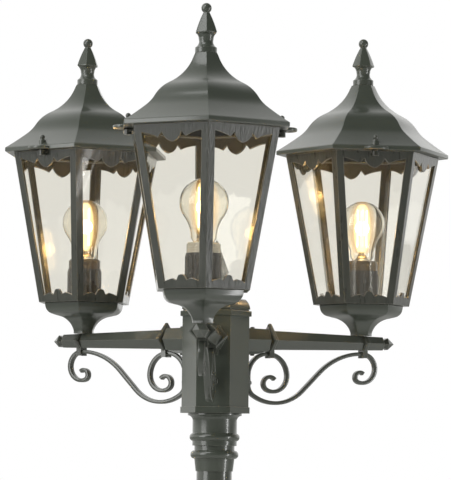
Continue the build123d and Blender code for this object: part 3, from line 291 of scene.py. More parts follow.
def new_material(name):
    material = bpy.data.materials.new(name)
    tree = node_tree(material)
    surface = tree.nodes.new("ShaderNodeBsdfPrincipled")
    out = tree.nodes.new("ShaderNodeOutputMaterial")
    link(tree, surface.outputs[0], out.inputs["Surface"])
    return material, tree, surface


EDGE_WEAR_AND_GLINT, PAINT_COAT, BEVEL_SAMPLES = 3.0, 0.8, 6


def painted(name, colour, pooled_and_streak, edge, roughness, ripple_scale, ripple_height, edge_radius, coat_roughness,
            streak_stretch=1.0, patch_scale=22.0):
    """Satin paint whose corners are paler, partly polished and partly a painted highlight. Its ripple and
    patches can be drawn out upright into light and dark streaks, which on the cages are painted reflections.
    """
    material, tree, surface = new_material(name)
    drawn_out = tree.nodes.new("ShaderNodeMapping")
    drawn_out.inputs["Scale"].default_value = (1, 1, streak_stretch)
    link(tree, tree.nodes.new("ShaderNodeTexCoord").outputs["Object"], drawn_out.inputs["Vector"])
    place = drawn_out.outputs["Vector"]
    cast = use_group(tree, cast_group, Vector=place, Colour=colour, Pooled_Colour=pooled_and_streak,
                     Ripple_Scale=ripple_scale, Patch_Scale=patch_scale, Roughness=roughness)
    bevel = tree.nodes.new("ShaderNodeBevel")
    bevel.samples = BEVEL_SAMPLES
    bevel.inputs["Radius"].default_value = edge_radius
    hard = tree.nodes.new("ShaderNodeNewGeometry").outputs["Normal"]
    worn_and_glinting = use_group(tree, wear_and_glint_group, Soft_Normal=bevel.outputs[0], Hard_Normal=hard,
                     Colour=cast.outputs["Colour"], Edge_Colour=edge, Amount=EDGE_WEAR_AND_GLINT)
    bump = tree.nodes.new("ShaderNodeBump")
    bump.inputs["Strength"].default_value = 1.0
    bump.inputs["Distance"].default_value = ripple_height
    link(tree, cast.outputs["Height"], bump.inputs["Height"])
    link(tree, bevel.outputs[0], bump.inputs["Normal"])
    link(tree, worn_and_glinting.outputs["Colour"], surface.inputs["Base Color"])
    link(tree, cast.outputs["Roughness"], surface.inputs["Roughness"])
    link(tree, bump.outputs[0], surface.inputs["Normal"])
    surface.inputs["Coat Roughness"].default_value = coat_roughness
    surface.inputs["Coat Weight"].default_value = PAINT_COAT
    return material


# The third colour of each paint is its corners: polished paint, lifted further as a painted edge highlight.
cast_paint = painted("cast_paint", (0.07, 0.081, 0.063, 1), (0.047, 0.056, 0.043, 1), (0.3, 0.3, 0.25, 1),
                     roughness=0.3, ripple_scale=420, ripple_height=0.00008, edge_radius=0.0008,
                     coat_roughness=0.15)
# On the cages the patches are drawn out into light and dark upright streaks: painted reflections.
cage_paint = painted("cage_paint", (0.06, 0.064, 0.05, 1), (0.024, 0.027, 0.021, 1), (0.4, 0.38, 0.31, 1),
                     roughness=0.22, ripple_scale=380, ripple_height=0.0005, edge_radius=0.0012,
                     coat_roughness=0.06, streak_stretch=0.04, patch_scale=150.0)
bar_paint = painted("bar_paint", (0.072, 0.08, 0.065, 1), (0.05, 0.056, 0.045, 1), (0.35, 0.34, 0.28, 1),
                    roughness=0.24, ripple_scale=300, ripple_height=0.00006, edge_radius=0.0007,
                    coat_roughness=0.06)
print("paints:", [m.name for m in (cast_paint, cage_paint, bar_paint)])

# %% [markdown]
# ## Glass
# The panes are window glass with a faint warm tint, and the bulbs are clearer blown glass. Both are a little
# wavy. Light that glass bends onto other things would take very many samples, so shadow rays pass straight
# through, as if the glass were a thin filter.

# %% Mix the glass
GLASS_IOR = 1.45


def clear_glass(name, tint, wave_scale, wave_height, thin_shadow):
    """Glass that bends what the eye sees through it, and is a plain filter for shadow rays."""
    material, tree, surface = new_material(name)
    place = tree.nodes.new("ShaderNodeTexCoord").outputs["Object"]
    surface.inputs["Base Color"].default_value = tint
    surface.inputs["Roughness"].default_value = 0.0
    surface.inputs["IOR"].default_value = GLASS_IOR
    surface.inputs["Transmission Weight"].default_value = 1.0
    bump = tree.nodes.new("ShaderNodeBump")
    bump.inputs["Distance"].default_value = wave_height
    link(tree, noise(tree, place, wave_scale, detail=2), bump.inputs["Height"])
    link(tree, bump.outputs[0], surface.inputs["Normal"])
    see_through = tree.nodes.new("ShaderNodeBsdfTransparent")
    see_through.inputs["Color"].default_value = thin_shadow
    in_shadow = tree.nodes.new("ShaderNodeLightPath").outputs["Is Shadow Ray"]
    link(tree, mix_by(tree, in_shadow, surface.outputs[0], see_through.outputs[0]),
         tree.nodes["Material Output"].inputs["Surface"])
    return material


pane_glass = clear_glass("pane_glass", (0.905, 0.893, 0.845, 1), wave_scale=16, wave_height=0.00015,
                         thin_shadow=(0.9, 0.88, 0.83, 1))
bulb_glass = clear_glass("bulb_glass", (1, 0.975, 0.91, 1), wave_scale=30, wave_height=0.0001,
                         thin_shadow=(0.97, 0.97, 0.96, 1))
print("glass:", pane_glass.name, bulb_glass.name)

# %% [markdown]
# ## Holders, caps and fasteners
# The shells of the lampholders are dark and glossy. The insert in the front one is pale, and those in the
# side lanterns are brown. The bulbs' caps and the fasteners inside are bare metal, and the terminal block is
# white plastic. All are smooth, so two close tones and a fine bump are enough.

# %% Mix the plain finishes
def plain_finish(name, colour, second, roughness, metallic=0.0, scale=90, height=0.00005, coat=0.0):
    """Ceramic, plastic or bare metal: two close tones and a fine bump."""
    material, tree, surface = new_material(name)
    place = tree.nodes.new("ShaderNodeTexCoord").outputs["Object"]
    cast = use_group(tree, cast_group, Vector=place, Colour=colour, Pooled_Colour=second,
                     Ripple_Scale=scale, Roughness=roughness, Roughness_Spread=0.12)
    bump = tree.nodes.new("ShaderNodeBump")
    bump.inputs["Distance"].default_value = height
    link(tree, cast.outputs["Height"], bump.inputs["Height"])
    link(tree, cast.outputs["Colour"], surface.inputs["Base Color"])
    link(tree, cast.outputs["Roughness"], surface.inputs["Roughness"])
    link(tree, bump.outputs[0], surface.inputs["Normal"])
    surface.inputs["Metallic"].default_value = metallic
    surface.inputs["Coat Weight"].default_value = coat
    return material


holder_shell = plain_finish("holder_shell", (0.035, 0.033, 0.027, 1), (0.022, 0.021, 0.017, 1),
                            roughness=0.22, coat=0.5)
porcelain = plain_finish("porcelain", (0.64, 0.62, 0.54, 1), (0.52, 0.5, 0.42, 1), roughness=0.15, coat=0.6)
amber_insert = plain_finish("amber_insert", (0.12, 0.085, 0.04, 1), (0.07, 0.05, 0.025, 1),
                            roughness=0.2, coat=0.6)
cap_metal = plain_finish("cap_metal", (0.8, 0.78, 0.72, 1), (0.62, 0.6, 0.55, 1),
                         roughness=0.2, metallic=1.0)
zinc_steel = plain_finish("zinc_steel", (0.62, 0.6, 0.55, 1), (0.45, 0.44, 0.4, 1),
                          roughness=0.3, metallic=1.0)
terminal_plastic = plain_finish("terminal_plastic", (0.8, 0.79, 0.74, 1), (0.72, 0.71, 0.66, 1),
                                roughness=0.45)
INSERT_FINISHES = {"front": porcelain, "left": amber_insert, "right": amber_insert}
print("inserts:", {side: finish.name for side, finish in INSERT_FINISHES.items()})

# %% [markdown]
# ## The glow
# The bulbs' rods shine by emission. Such a bright thing also blurs in a camera, and this is made as a surface
# round the rods that shines, and is clearer the more it turns away from the eye. A blur added afterwards to
# the picture could do it too, but this one stays with the bulb from every side.

# %% Mix the glow
def glowing(name, colour, strength):
    """A surface that shines, with hotter and cooler patches."""
    material, tree, surface = new_material(name)
    place = tree.nodes.new("ShaderNodeTexCoord").outputs["Object"]
    hot = mix_colour(tree, noise(tree, place, scale=500, detail=1), colour, (1.0, 0.86, 0.6, 1))
    surface.inputs["Base Color"].default_value = (1.0, 0.7, 0.4, 1)
    link(tree, hot, surface.inputs["Emission Color"])
    surface.inputs["Emission Strength"].default_value = strength
    return material


filament_glow = glowing("filament_glow", (1.0, 0.62, 0.25, 1), strength=12)
FALL_OFF, FLICKER_LEAST, FLICKER_SPREAD = 2.2, 0.85, 0.1


def glare(name, colour, strength, most):
    """A glow that is strongest where it faces the eye and fades out towards its outline."""
    material, tree, surface = new_material(name)
    place = tree.nodes.new("ShaderNodeTexCoord").outputs["Object"]
    surface.inputs["Base Color"].default_value = (0, 0, 0, 1)
    surface.inputs["Specular IOR Level"].default_value = 0
    surface.inputs["Emission Color"].default_value = colour
    surface.inputs["Emission Strength"].default_value = strength
    facing = tree.nodes.new("ShaderNodeLayerWeight")
    facing.inputs["Blend"].default_value = 0.5
    depth = math_node(tree, "SUBTRACT", 1.0, facing.outputs["Facing"])
    waves = noise(tree, place, scale=60, detail=1)
    flicker = math_node(tree, "MULTIPLY_ADD", waves, FLICKER_SPREAD, FLICKER_LEAST)
    soft = math_node(tree, "MULTIPLY", math_node(tree, "POWER", depth, FALL_OFF), most)
    link(tree, math_node(tree, "MULTIPLY", soft, flicker), surface.inputs["Alpha"])
    return material


lamp_glare = glare("lamp_glare", (1.0, 0.8, 0.42, 1), strength=3.6, most=1.0)
lamp_halo = glare("lamp_halo", (1.0, 0.56, 0.15, 1), strength=1.3, most=0.45)
print("materials:", [m.name for m in bpy.data.materials])

# %% [markdown]
# ## Dress the CAD nodes
# Every node gets the finish of the real piece, also the nodes whose place a rebuilt piece takes further on.

# %% Give every node its finish
FINISHES = {
    "panes": pane_glass, "bulb_glass": bulb_glass, "bulb_cap": cap_metal, "filament": filament_glow,
    "lampholder": holder_shell, "stem": zinc_steel, "terminal_block": terminal_plastic, "cage": cage_paint,
    "scroll": bar_paint, "arm": bar_paint, "arm_tip": bar_paint, "inner_collar": bar_paint,
    "outer_collar": bar_paint, "upper_tube": bar_paint,
}
for name, node in nodes.items():
    side, _, part = name.partition("_")
    if side not in INSERT_FINISHES:
        part = name
    node.data.materials.clear()
    node.data.materials.append(INSERT_FINISHES[side] if part == "holder_insert"
                               else FINISHES.get(part, cast_paint))
print("dressed:", len(nodes))

# %% [markdown]
# ## One tool for turned and many-sided pieces
# A bulb and a capital are turned on a lathe; a roof and a bowl are the same idea with six sides. One Geometry
# Nodes tree does both: it carries an outline round a ring of corners, each rounded a little. The outline is a
# mesh of points in the XZ plane, so sharp and smooth stretches stay exactly where they are drawn.

# %% Build the sided lathe
MM = 0.001


def new_tree(name, inputs):
    group = bpy.data.node_groups.new(name, "GeometryNodeTree")
    group.interface.new_socket(name="Geometry", in_out="INPUT", socket_type="NodeSocketGeometry")
    for label, kind, value in inputs:
        socket = group.interface.new_socket(name=label, in_out="INPUT", socket_type=kind)
        if value is not None:
            socket.default_value = value
    group.interface.new_socket(name="Geometry", in_out="OUTPUT", socket_type="NodeSocketGeometry")
    return group, group.nodes.new("NodeGroupInput"), group.nodes.new("NodeGroupOutput")


def add(group, kind, links=(), **settings):
    """A node with its settings and with its inputs linked or set by name or place."""
    node = group.nodes.new(kind)
    for key, value in settings.items():
        setattr(node, key, value)
    for key, value in dict(links).items():
        feed(group, node.inputs[key], value)
    return node


def finish_tree(group, end, geometry, material, smooth_angle):
    """Shades smooth but for sharp edges, then makes everything real and gives it its material."""
    angle = add(group, "GeometryNodeInputMeshEdgeAngle").outputs["Unsigned Angle"]
    soft = add(group, "FunctionNodeCompare", {0: angle, 1: smooth_angle}, operation="LESS_THAN").outputs[0]
    smooth = add(group, "GeometryNodeSetShadeSmooth", {"Geometry": geometry})
    edges = add(group, "GeometryNodeSetShadeSmooth", {"Geometry": smooth.outputs[0], "Shade Smooth": soft},
                domain="EDGE")
    real = add(group, "GeometryNodeRealizeInstances", {"Geometry": edges.outputs[0]})
    painted_mesh = add(group, "GeometryNodeSetMaterial", {"Geometry": real.outputs[0], "Material": material})
    link(group, painted_mesh.outputs[0], end.inputs[0])


lathe, start, end = new_tree("sided_lathe", [
    ("Sides", "NodeSocketInt", 6), ("Corner Radius", "NodeSocketFloat", 0.01),
    ("Corner Steps", "NodeSocketInt", 3), ("Smooth Angle", "NodeSocketFloat", 0.5),
    ("Material", "NodeSocketMaterial", None)])
circle = add(lathe, "GeometryNodeCurvePrimitiveCircle", {"Resolution": start.outputs["Sides"], "Radius": 1.0},
             mode="RADIUS")
rounded = add(lathe, "GeometryNodeFilletCurve",
              {"Curve": circle.outputs[0], "Count": start.outputs["Corner Steps"],
               "Radius": start.outputs["Corner Radius"], "Limit Radius": True}, mode="POLY")
ring_count = add(lathe, "GeometryNodeAttributeDomainSize", {"Geometry": rounded.outputs[0]},
                 component="CURVE").outputs["Point Count"]
outline_count = add(lathe, "GeometryNodeAttributeDomainSize", {"Geometry": start.outputs["Geometry"]},
                    component="MESH").outputs["Point Count"]
columns = add(lathe, "ShaderNodeMath", {0: ring_count, 1: 1.0}, operation="ADD").outputs[0]
grid = add(lathe, "GeometryNodeMeshGrid", {"Vertices X": columns, "Vertices Y": outline_count})
index = add(lathe, "GeometryNodeInputIndex").outputs[0]
column = add(lathe, "ShaderNodeMath", {0: index, 1: outline_count}, operation="DIVIDE").outputs[0]
column = add(lathe, "ShaderNodeMath", {0: column}, operation="FLOOR").outputs[0]
column = add(lathe, "ShaderNodeMath", {0: column, 1: ring_count}, operation="MODULO").outputs[0]
row = add(lathe, "ShaderNodeMath", {0: index, 1: outline_count}, operation="MODULO").outputs[0]
position = add(lathe, "GeometryNodeInputPosition").outputs[0]
on_ring = add(lathe, "GeometryNodeSampleIndex",
              {"Geometry": rounded.outputs[0], "Value": position, "Index": column},
              data_type="FLOAT_VECTOR", domain="POINT").outputs[0]
on_outline = add(lathe, "GeometryNodeSampleIndex",
                 {"Geometry": start.outputs["Geometry"], "Value": position, "Index": row},
                 data_type="FLOAT_VECTOR", domain="POINT").outputs[0]
outline_xyz = add(lathe, "ShaderNodeSeparateXYZ", {0: on_outline})
outwards = add(lathe, "ShaderNodeVectorMath", {0: on_ring, "Scale": outline_xyz.outputs["X"]},
               operation="SCALE")
height = add(lathe, "ShaderNodeCombineXYZ", {"Z": outline_xyz.outputs["Z"]})
place = add(lathe, "ShaderNodeVectorMath", {0: outwards.outputs[0], 1: height.outputs[0]}, operation="ADD")
shaped = add(lathe, "GeometryNodeSetPosition", {"Geometry": grid.outputs[0], "Position": place.outputs[0]})
closed = add(lathe, "GeometryNodeMergeByDistance", {"Geometry": shaped.outputs[0], "Distance": 0.001})
finish_tree(lathe, end, closed.outputs[0], start.outputs["Material"], start.outputs["Smooth Angle"])
print("tree:", lathe.name, "with", len(lathe.nodes), "nodes")

# %% [markdown]
# ## From outlines to pieces
# A tree is run on an outline, and the result is kept as a plain mesh, so the finished pieces carry no
# modifiers. Outlines are in millimetres and pieces in metres. Several meshes join into one piece, which rides
# on one body of the mechanism and takes the place of the CAD nodes that it stands for.

# %% Write the helpers for pieces
def evaluate(name, mesh, tree, placement=None, **values):
    """Runs a tree on a mesh in millimetres and returns the result as a plain mesh in metres, placed."""
    shape = bpy.data.objects.new(name, mesh)
    bpy.context.scene.collection.objects.link(shape)
    modifier = shape.modifiers.new("shape", "NODES")
    modifier.node_group = tree
    for item in tree.interface.items_tree:
        key = item.name.replace(" ", "_")
        if item.item_type == "SOCKET" and item.in_out == "INPUT" and key in values:
            modifier[item.identifier] = values[key]
    graph = bpy.context.evaluated_depsgraph_get()
    result = bpy.data.meshes.new_from_object(shape.evaluated_get(graph))
    bpy.data.objects.remove(shape)
    result.name = name
    work = bmesh.new()
    work.from_mesh(result)
    bmesh.ops.recalc_face_normals(work, faces=work.faces)
    work.to_mesh(result)
    work.free()
    result.transform(Matrix.Scale(MM, 4))
    if placement is not None:
        result.transform(placement)
    return result


def outline_mesh(points, closed=False):
    """Points (radius, height) as a mesh that the lathe reads in order."""
    mesh = bpy.data.meshes.new("outline")
    points = list(points) + ([points[0]] if closed else [])
    mesh.from_pydata([(x, 0, z) for x, z in points], [(i, i + 1) for i in range(len(points) - 1)], [])
    return mesh


FEWEST_ROUND_SIDES = 12


def turned(name, points, material, sides=64, closed=False, corner=0.0, steps=1, smooth=0.6, placement=None):
    """A round or many-sided piece. The radii of a many-sided one are measured to its flats."""
    if sides < FEWEST_ROUND_SIDES:
        points = [(x / math.cos(math.pi / sides), z) for x, z in points]
    return evaluate(name, outline_mesh(points, closed), lathe, placement, Sides=sides, Corner_Radius=corner,
                    Corner_Steps=steps, Smooth_Angle=smooth, Material=material)


def hexagonal(name, points, material, placement, closed=False, corner=0.02, steps=3):
    """A six-sided piece whose hips are rounded a little and stay sharp to the eye."""
    return turned(name, points, material, sides=6, closed=closed, corner=corner, steps=steps, smooth=0.45,
                  placement=placement)


def piece(name, meshes, body, *replaced, slot="dark_paint"):
    """Joins meshes into one piece that rides on a body and stands for CAD nodes. Its slot is not used."""
    work = bmesh.new()
    materials = []
    for mesh in meshes:
        first = len(work.faces)
        work.from_mesh(mesh)
        work.faces.ensure_lookup_table()
        for face in work.faces[first:]:
            material = mesh.materials[face.material_index]
            if material not in materials:
                materials.append(material)
            face.material_index = materials.index(material)
    joined = bpy.data.meshes.new(name)
    work.to_mesh(joined)
    work.free()
    for material in materials:
        joined.materials.append(material)
    made = bpy.data.objects.new(name, joined)
    bpy.context.scene.collection.objects.link(made)
    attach(made, body)
    if replaced:
        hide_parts(*replaced)
    return made


print("helpers:", [helper.__name__ for helper in (evaluate, outline_mesh, turned, hexagonal, piece)])

# %% [markdown]
# ## Arcs
# Outlines of castings and turnings are straight lines and arcs that run into one another. An arc is fixed by
# its two ends and the direction in which it starts, and gives the direction in which it ends, so that the
# next one can carry on from it.

# %% Draw arcs
def ball_side(radius, height, degrees):
    """Points round a ball, at angles from its top."""
    return [(radius * math.sin(math.radians(a)), height + radius * math.cos(math.radians(a)))
            for a in degrees]


def arc_to(start, goal, tangent, count):
    """Points of the arc that leaves start along tangent and ends at goal, with its direction there."""
    start, goal, tangent = Vector(start), Vector(goal), Vector(tangent).normalized()
    chord = goal - start
    across = Vector((-tangent.y, tangent.x))
    lean = chord.dot(across)
    if abs(lean) < 1e-9:
        return [goal[:]], tangent
    radius = chord.length_squared / (2 * lean)
    centre = start + across * radius
    sweep = 2 * math.atan2(abs(lean), chord.dot(tangent)) * math.copysign(1, radius)
    arm = start - centre
    turns = [Matrix.Rotation(sweep * step / count, 2) for step in range(1, count + 1)]
    return [(centre + turn @ arm)[:] for turn in turns], Matrix.Rotation(sweep, 2) @ tangent


def arc_through(start, middle, goal, count):
    """Points of the arc from start to goal that bulges through a point on its middle line."""
    start, middle, goal = Vector(start), Vector(middle), Vector(goal)
    half = (goal - start) / 2
    rise = middle - (start + half)
    angle = 2 * math.atan2(rise.length, half.length)
    side = math.copysign(1, half.x * rise.y - half.y * rise.x)
    tangent = Matrix.Rotation(side * angle, 2) @ half
    return arc_to(start, goal, tangent, count)[0]


quarter, end_direction = arc_to((1, 0), (0, 1), (0, 1), 2)
print("a quarter circle:", [[round(v, 3) for v in point] for point in quarter], "ends along", end_direction)

# %% [markdown]
# ## A bar that follows a path
# Each scroll is one flat bar bent cold round formers, so its line is a chain of arcs and short straights. A
# second tree sweeps a section with rounded corners along any such path. The same tree makes screw threads and
# the wires and rods in the bulbs.

# %% Build the bar sweep
sweep, start, end = new_tree("bar_sweep", [
    ("Width", "NodeSocketFloat", 8.0), ("Thickness", "NodeSocketFloat", 5.0),
    ("Corner Radius", "NodeSocketFloat", 1.0), ("Smooth Angle", "NodeSocketFloat", 0.7),
    ("Material", "NodeSocketMaterial", None)])
path_curve = add(sweep, "GeometryNodeMeshToCurve", {"Mesh": start.outputs["Geometry"]})
upright = add(sweep, "GeometryNodeSetCurveNormal", {"Curve": path_curve.outputs[0]}, mode="MINIMUM_TWIST")
section = add(sweep, "GeometryNodeCurvePrimitiveQuadrilateral",
              {"Width": start.outputs["Width"], "Height": start.outputs["Thickness"]}, mode="RECTANGLE")
soft_section = add(sweep, "GeometryNodeFilletCurve",
                   {"Curve": section.outputs[0], "Count": 3, "Radius": start.outputs["Corner Radius"],
                    "Limit Radius": True}, mode="POLY")
swept = add(sweep, "GeometryNodeCurveToMesh",
            {"Curve": upright.outputs[0], "Profile Curve": soft_section.outputs[0], "Fill Caps": True})
finish_tree(sweep, end, swept.outputs[0], start.outputs["Material"], start.outputs["Smooth Angle"])


def path_mesh(points):
    """Points as a mesh that the sweep follows in order."""
    mesh = bpy.data.meshes.new("path")
    mesh.from_pydata(points, [(i, i + 1) for i in range(len(points) - 1)], [])
    return mesh


def walk(point, heading, steps, spacing=1.6):
    """Points of a chain of straights (a length) and arcs (a radius and degrees), in the XZ plane."""
    x, z = point
    angle = math.radians(heading)
    points = [(x, 0, z)]
    for step in steps:
        if isinstance(step, tuple):
            radius, turn = step[0], math.radians(step[1])
            count = max(4, round(radius * abs(turn) / spacing))
            side = math.copysign(1, turn)
            for _ in range(count):
                centre = (x - side * radius * math.sin(angle), z + side * radius * math.cos(angle))
                angle += turn / count
                x = centre[0] + side * radius * math.sin(angle)
                z = centre[1] - side * radius * math.cos(angle)
                points.append((x, 0, z))
        else:
            x, z = x + step * math.cos(angle), z + step * math.sin(angle)
            points.append((x, 0, z))
    return points


def helix(radius, pitch, low, high, steps_per_turn=32):
    """Points of a screw line round the Z axis, from a low height to a high one."""
    count = round((high - low) / pitch * steps_per_turn)
    turn = 2 * math.pi / steps_per_turn
    return [(radius * math.cos(i * turn), radius * math.sin(i * turn), low + (high - low) * i / count)
            for i in range(count + 1)]


print("tree:", sweep.name, "with", len(sweep.nodes), "nodes")

# %% [markdown]
# ## Where the arms and lanterns are
# Each arm is drawn along +X and turned to its heading. Each lantern is drawn upright round its own axis with
# the eaves at zero height, then turned a few degrees on its stem, as the real ones are.

# %% Place the arms and lanterns
LANTERN_REACH = 0.214
EAVES_ABOVE_ARM = 0.251
HEADINGS = {"front": 270, "left": 150, "right": 30}
TURNS = {"front": 7, "left": -1, "right": -18}


def spin(degrees):
    return Matrix.Rotation(math.radians(degrees), 4, "Z")


ON_ARM = {side: spin(angle) @ Matrix.Translation((0, 0, EAVES_Z - EAVES_ABOVE_ARM))
          for side, angle in HEADINGS.items()}
ON_STEM = {side: spin(angle) @ Matrix.Translation((LANTERN_REACH, 0, EAVES_Z)) @ spin(TURNS[side])
           for side, angle in HEADINGS.items()}
SIDES = tuple(HEADINGS)
print("lanterns at", [[round(v, 3) for v in m.translation] for m in ON_STEM.values()])

# %% [markdown]
# ## Roofs
# The roof is a thin casting with an ogee outline: it leaves the neck steeply, turns at the shoulder and runs
# out to a flat eave. Four arcs that run into one another give the outline. The inside has the same outline,
# moved in and down by the wall's thickness. Two ears carry the bosses that the thumb screws go through.

# %% Make the roofs
NECK, SHOULDER, SKIRT, FLARE, EAVE = (14, 93), (44.9, 54.1), (63.6, 36.0), (74.0, 23.5), (101, 2.5)
NECK_SLOPE = (0.2588, -0.9659)
ROOF_WALL, TOP_INSIDE = 1.8, 90


def ogee(inset):
    point, tangent = (NECK[0] - inset, NECK[1] - inset), NECK_SLOPE
    points = [point]
    for goal, count in ((SHOULDER, 12), (SKIRT, 10), (FLARE, 5), (EAVE, 9)):
        goal = (goal[0] - inset, goal[1] - inset)
        run, tangent = arc_to(point, goal, tangent, count)
        points += run
        point = goal
    return points


inner = [point for point in ogee(ROOF_WALL) if point[1] <= TOP_INSIDE]
ROOF = ([(3.3, 93), (13.4, 93)] + ogee(0)[1:-1] + [(100.6, 2.9), (101, 2.4), (101, -1.9), (100.4, -2.5)]
        + [(80.4, -2.5), (80, -2.1), (80, -0.7), (99.2, -0.7)] + inner[::-1] + [(3.3, TOP_INSIDE)])
EAR = [(0, 1.5), (12.2, 1.5), (12.8, 1.2), (13, 0.7), (13, -1.7), (12.8, -2.2), (12.2, -2.5), (0, -2.5)]
BOSS = [(0, 10), (4.2, 10), (4.8, 9.7), (5, 9.1), (5, 0), (0, 0)]
EAR_REACH, BOSS_REACH = 101, 95
EAR_STRETCH = Matrix.Diagonal((16 / 13, 1, 1, 1))


def at_eave(side, reach):
    """The place at the middle of one of a roof's two eared sides."""
    return ON_STEM[side] @ Matrix.Translation((0, reach * MM, 0))


for side in SIDES:
    meshes = [hexagonal("roof", ROOF, cast_paint, ON_STEM[side], closed=True, corner=0.012)]
    for sign in (1, -1):
        at_ear = at_eave(side, sign * EAR_REACH) @ EAR_STRETCH
        meshes += [turned("ear", EAR, cast_paint, sides=48, placement=at_ear),
                   turned("boss", BOSS, cast_paint, sides=32, placement=at_eave(side, sign * BOSS_REACH))]
    roof = piece(f"{side}_ogee_roof", meshes, f"{side}_roof_body", f"{side}_roof")
print("roof faces:", len(roof.data.polygons))

# %% [markdown]
# ## Finials and thumb screws
# The finial is a turned foot with a six-sided spike and a ball, cast in one, and a stud and nut hold it to
# the roof. The thumb screws have ball heads.

# %% Make the finials and screws
FINIAL_FOOT = ([(0, 93), (13, 93), (13.6, 93.6), (13.6, 99.9), (13, 100.5)]
               + arc_to((13, 100.5), (9.2, 110.5), (-1, 0.6), 10)[0]
               + arc_to((9.2, 110.5), (12.5, 118.3), (0, 1), 8)[0] + [(0, 118.3)])
FINIAL_SPIKE = ([(0, 117.5), (11.6, 117.8), (12.5, 118.4), (12.8, 119), (12.8, 120.2), (12.5, 120.8)]
                + arc_to((12.5, 120.8), (3.4, 144.6), (-0.28, 1), 8)[0] + [(0, 144.6)])
BALL = ball_side(6.5, 149.5, range(0, 181, 12))
STUD = [(0, 93.2), (3, 93.2), (3, 84.6), (2.4, 84), (0, 84)]
NUT = [(3, 90), (4.6, 90), (5, 89.6), (5, 86.9), (4.6, 86.5), (3, 86.5)]
THUMB_SCREW = ([(0, 17.4)] + ball_side(3.4, 14, range(15, 136, 15))
               + [(2.3, 11.5), (3.0, 11.4), (3.2, 11.1), (3.2, 10), (2, 10), (2, -7.4), (1.5, -8), (0, -8)])
for side in SIDES:
    at = ON_STEM[side]
    piece(f"{side}_spiked_finial",
          [turned("foot", FINIAL_FOOT, cast_paint, placement=at),
           hexagonal("spike", FINIAL_SPIKE, cast_paint, at),
           turned("ball", BALL, cast_paint, sides=40, placement=at),
           turned("stud", STUD, zinc_steel, sides=24, placement=at),
           hexagonal("nut", NUT, zinc_steel, at, closed=True, corner=0.05, steps=2)],
          f"{side}_roof_body", f"{side}_finial")
    screws = [turned("thumb_screw", THUMB_SCREW, bar_paint, sides=32,
                     placement=at_eave(side, sign * BOSS_REACH)) for sign in (1, -1)]
    piece(f"{side}_thumb_screws", screws, f"{side}_roof_body", f"{side}_roof_screws")
print("finials and screws for", SIDES)

# %% [markdown]
# ## The bulb's outlines
# A pear-shaped bulb is blown glass, under a millimetre thick. Both its surfaces are modelled, because light
# bends at each. The cap is rolled metal that stands in the insert, so its shallow thread hardly shows and is
# drawn as plain rings. A flared glass mount carries the glowing rods.

# %% Draw the bulb
BULB_RADIUS, BULB_MIDDLE, BULB_WALL = 30, -92, 0.9


def bulb_side(inset):
    crown = ball_side(BULB_RADIUS - inset, BULB_MIDDLE, [128 * i / 30 for i in range(31)])
    waist = (15.5 - inset, -136)
    shoulder = [waist] + arc_to(waist, crown[-1], (0, 1), 12)[0]
    return crown + shoulder[::-1][1:] + [(13.9 - inset, -138.8), (12.4 - inset, -141)]


GLASS = bulb_side(0) + bulb_side(BULB_WALL)[::-1]
CAP = ([(0, -141.4), (12.4, -141.4), (13, -142.2), (13, -144)]
       + [(12.55 + 0.45 * math.cos(i * math.pi / 2), -145 - i * 0.9) for i in range(17)]
       + [(12.4, -161), (9, -164), (5.4, -165), (5, -167.2), (4.2, -167.6), (0, -167.6)])
MOUNT = [(0, -141.2), (11, -141), (8, -138.5), (5.5, -134), (4.5, -131), (3.4, -128.2), (2.4, -127),
         (0, -127)]
print("bulb: radius", BULB_RADIUS, "length", round(GLASS[0][1] - CAP[-1][1], 1))

# %% [markdown]
# ## Lit bulbs
# Four upright glowing rods stand between wire rings. A camera sees such rods as one blurred glare, so two
# soft sleeves show it: a bright one and a wider, fainter halo. Both fade towards their edges. A small warm
# lamp at their heart gives the light that falls on the metalwork.

# %% Put the bulbs together
GLARE_MIDDLE = -98
GLARE_SIZE, HALO_SIZE = (12, 33), (20, 36)


def sleeve(radius, rise):
    """The outline of a soft-ended upright sleeve round the glowing rods."""
    return [(radius * math.sin(math.radians(a)) ** 0.7, GLARE_MIDDLE + rise * math.cos(math.radians(a)))
            for a in range(0, 181, 6)]


def rod(name, points, radius, material, placement):
    """A round wire along a path."""
    return evaluate(name, path_mesh(points), sweep, placement, Width=2 * radius, Thickness=2 * radius,
                    Corner_Radius=radius * 0.98, Material=material)


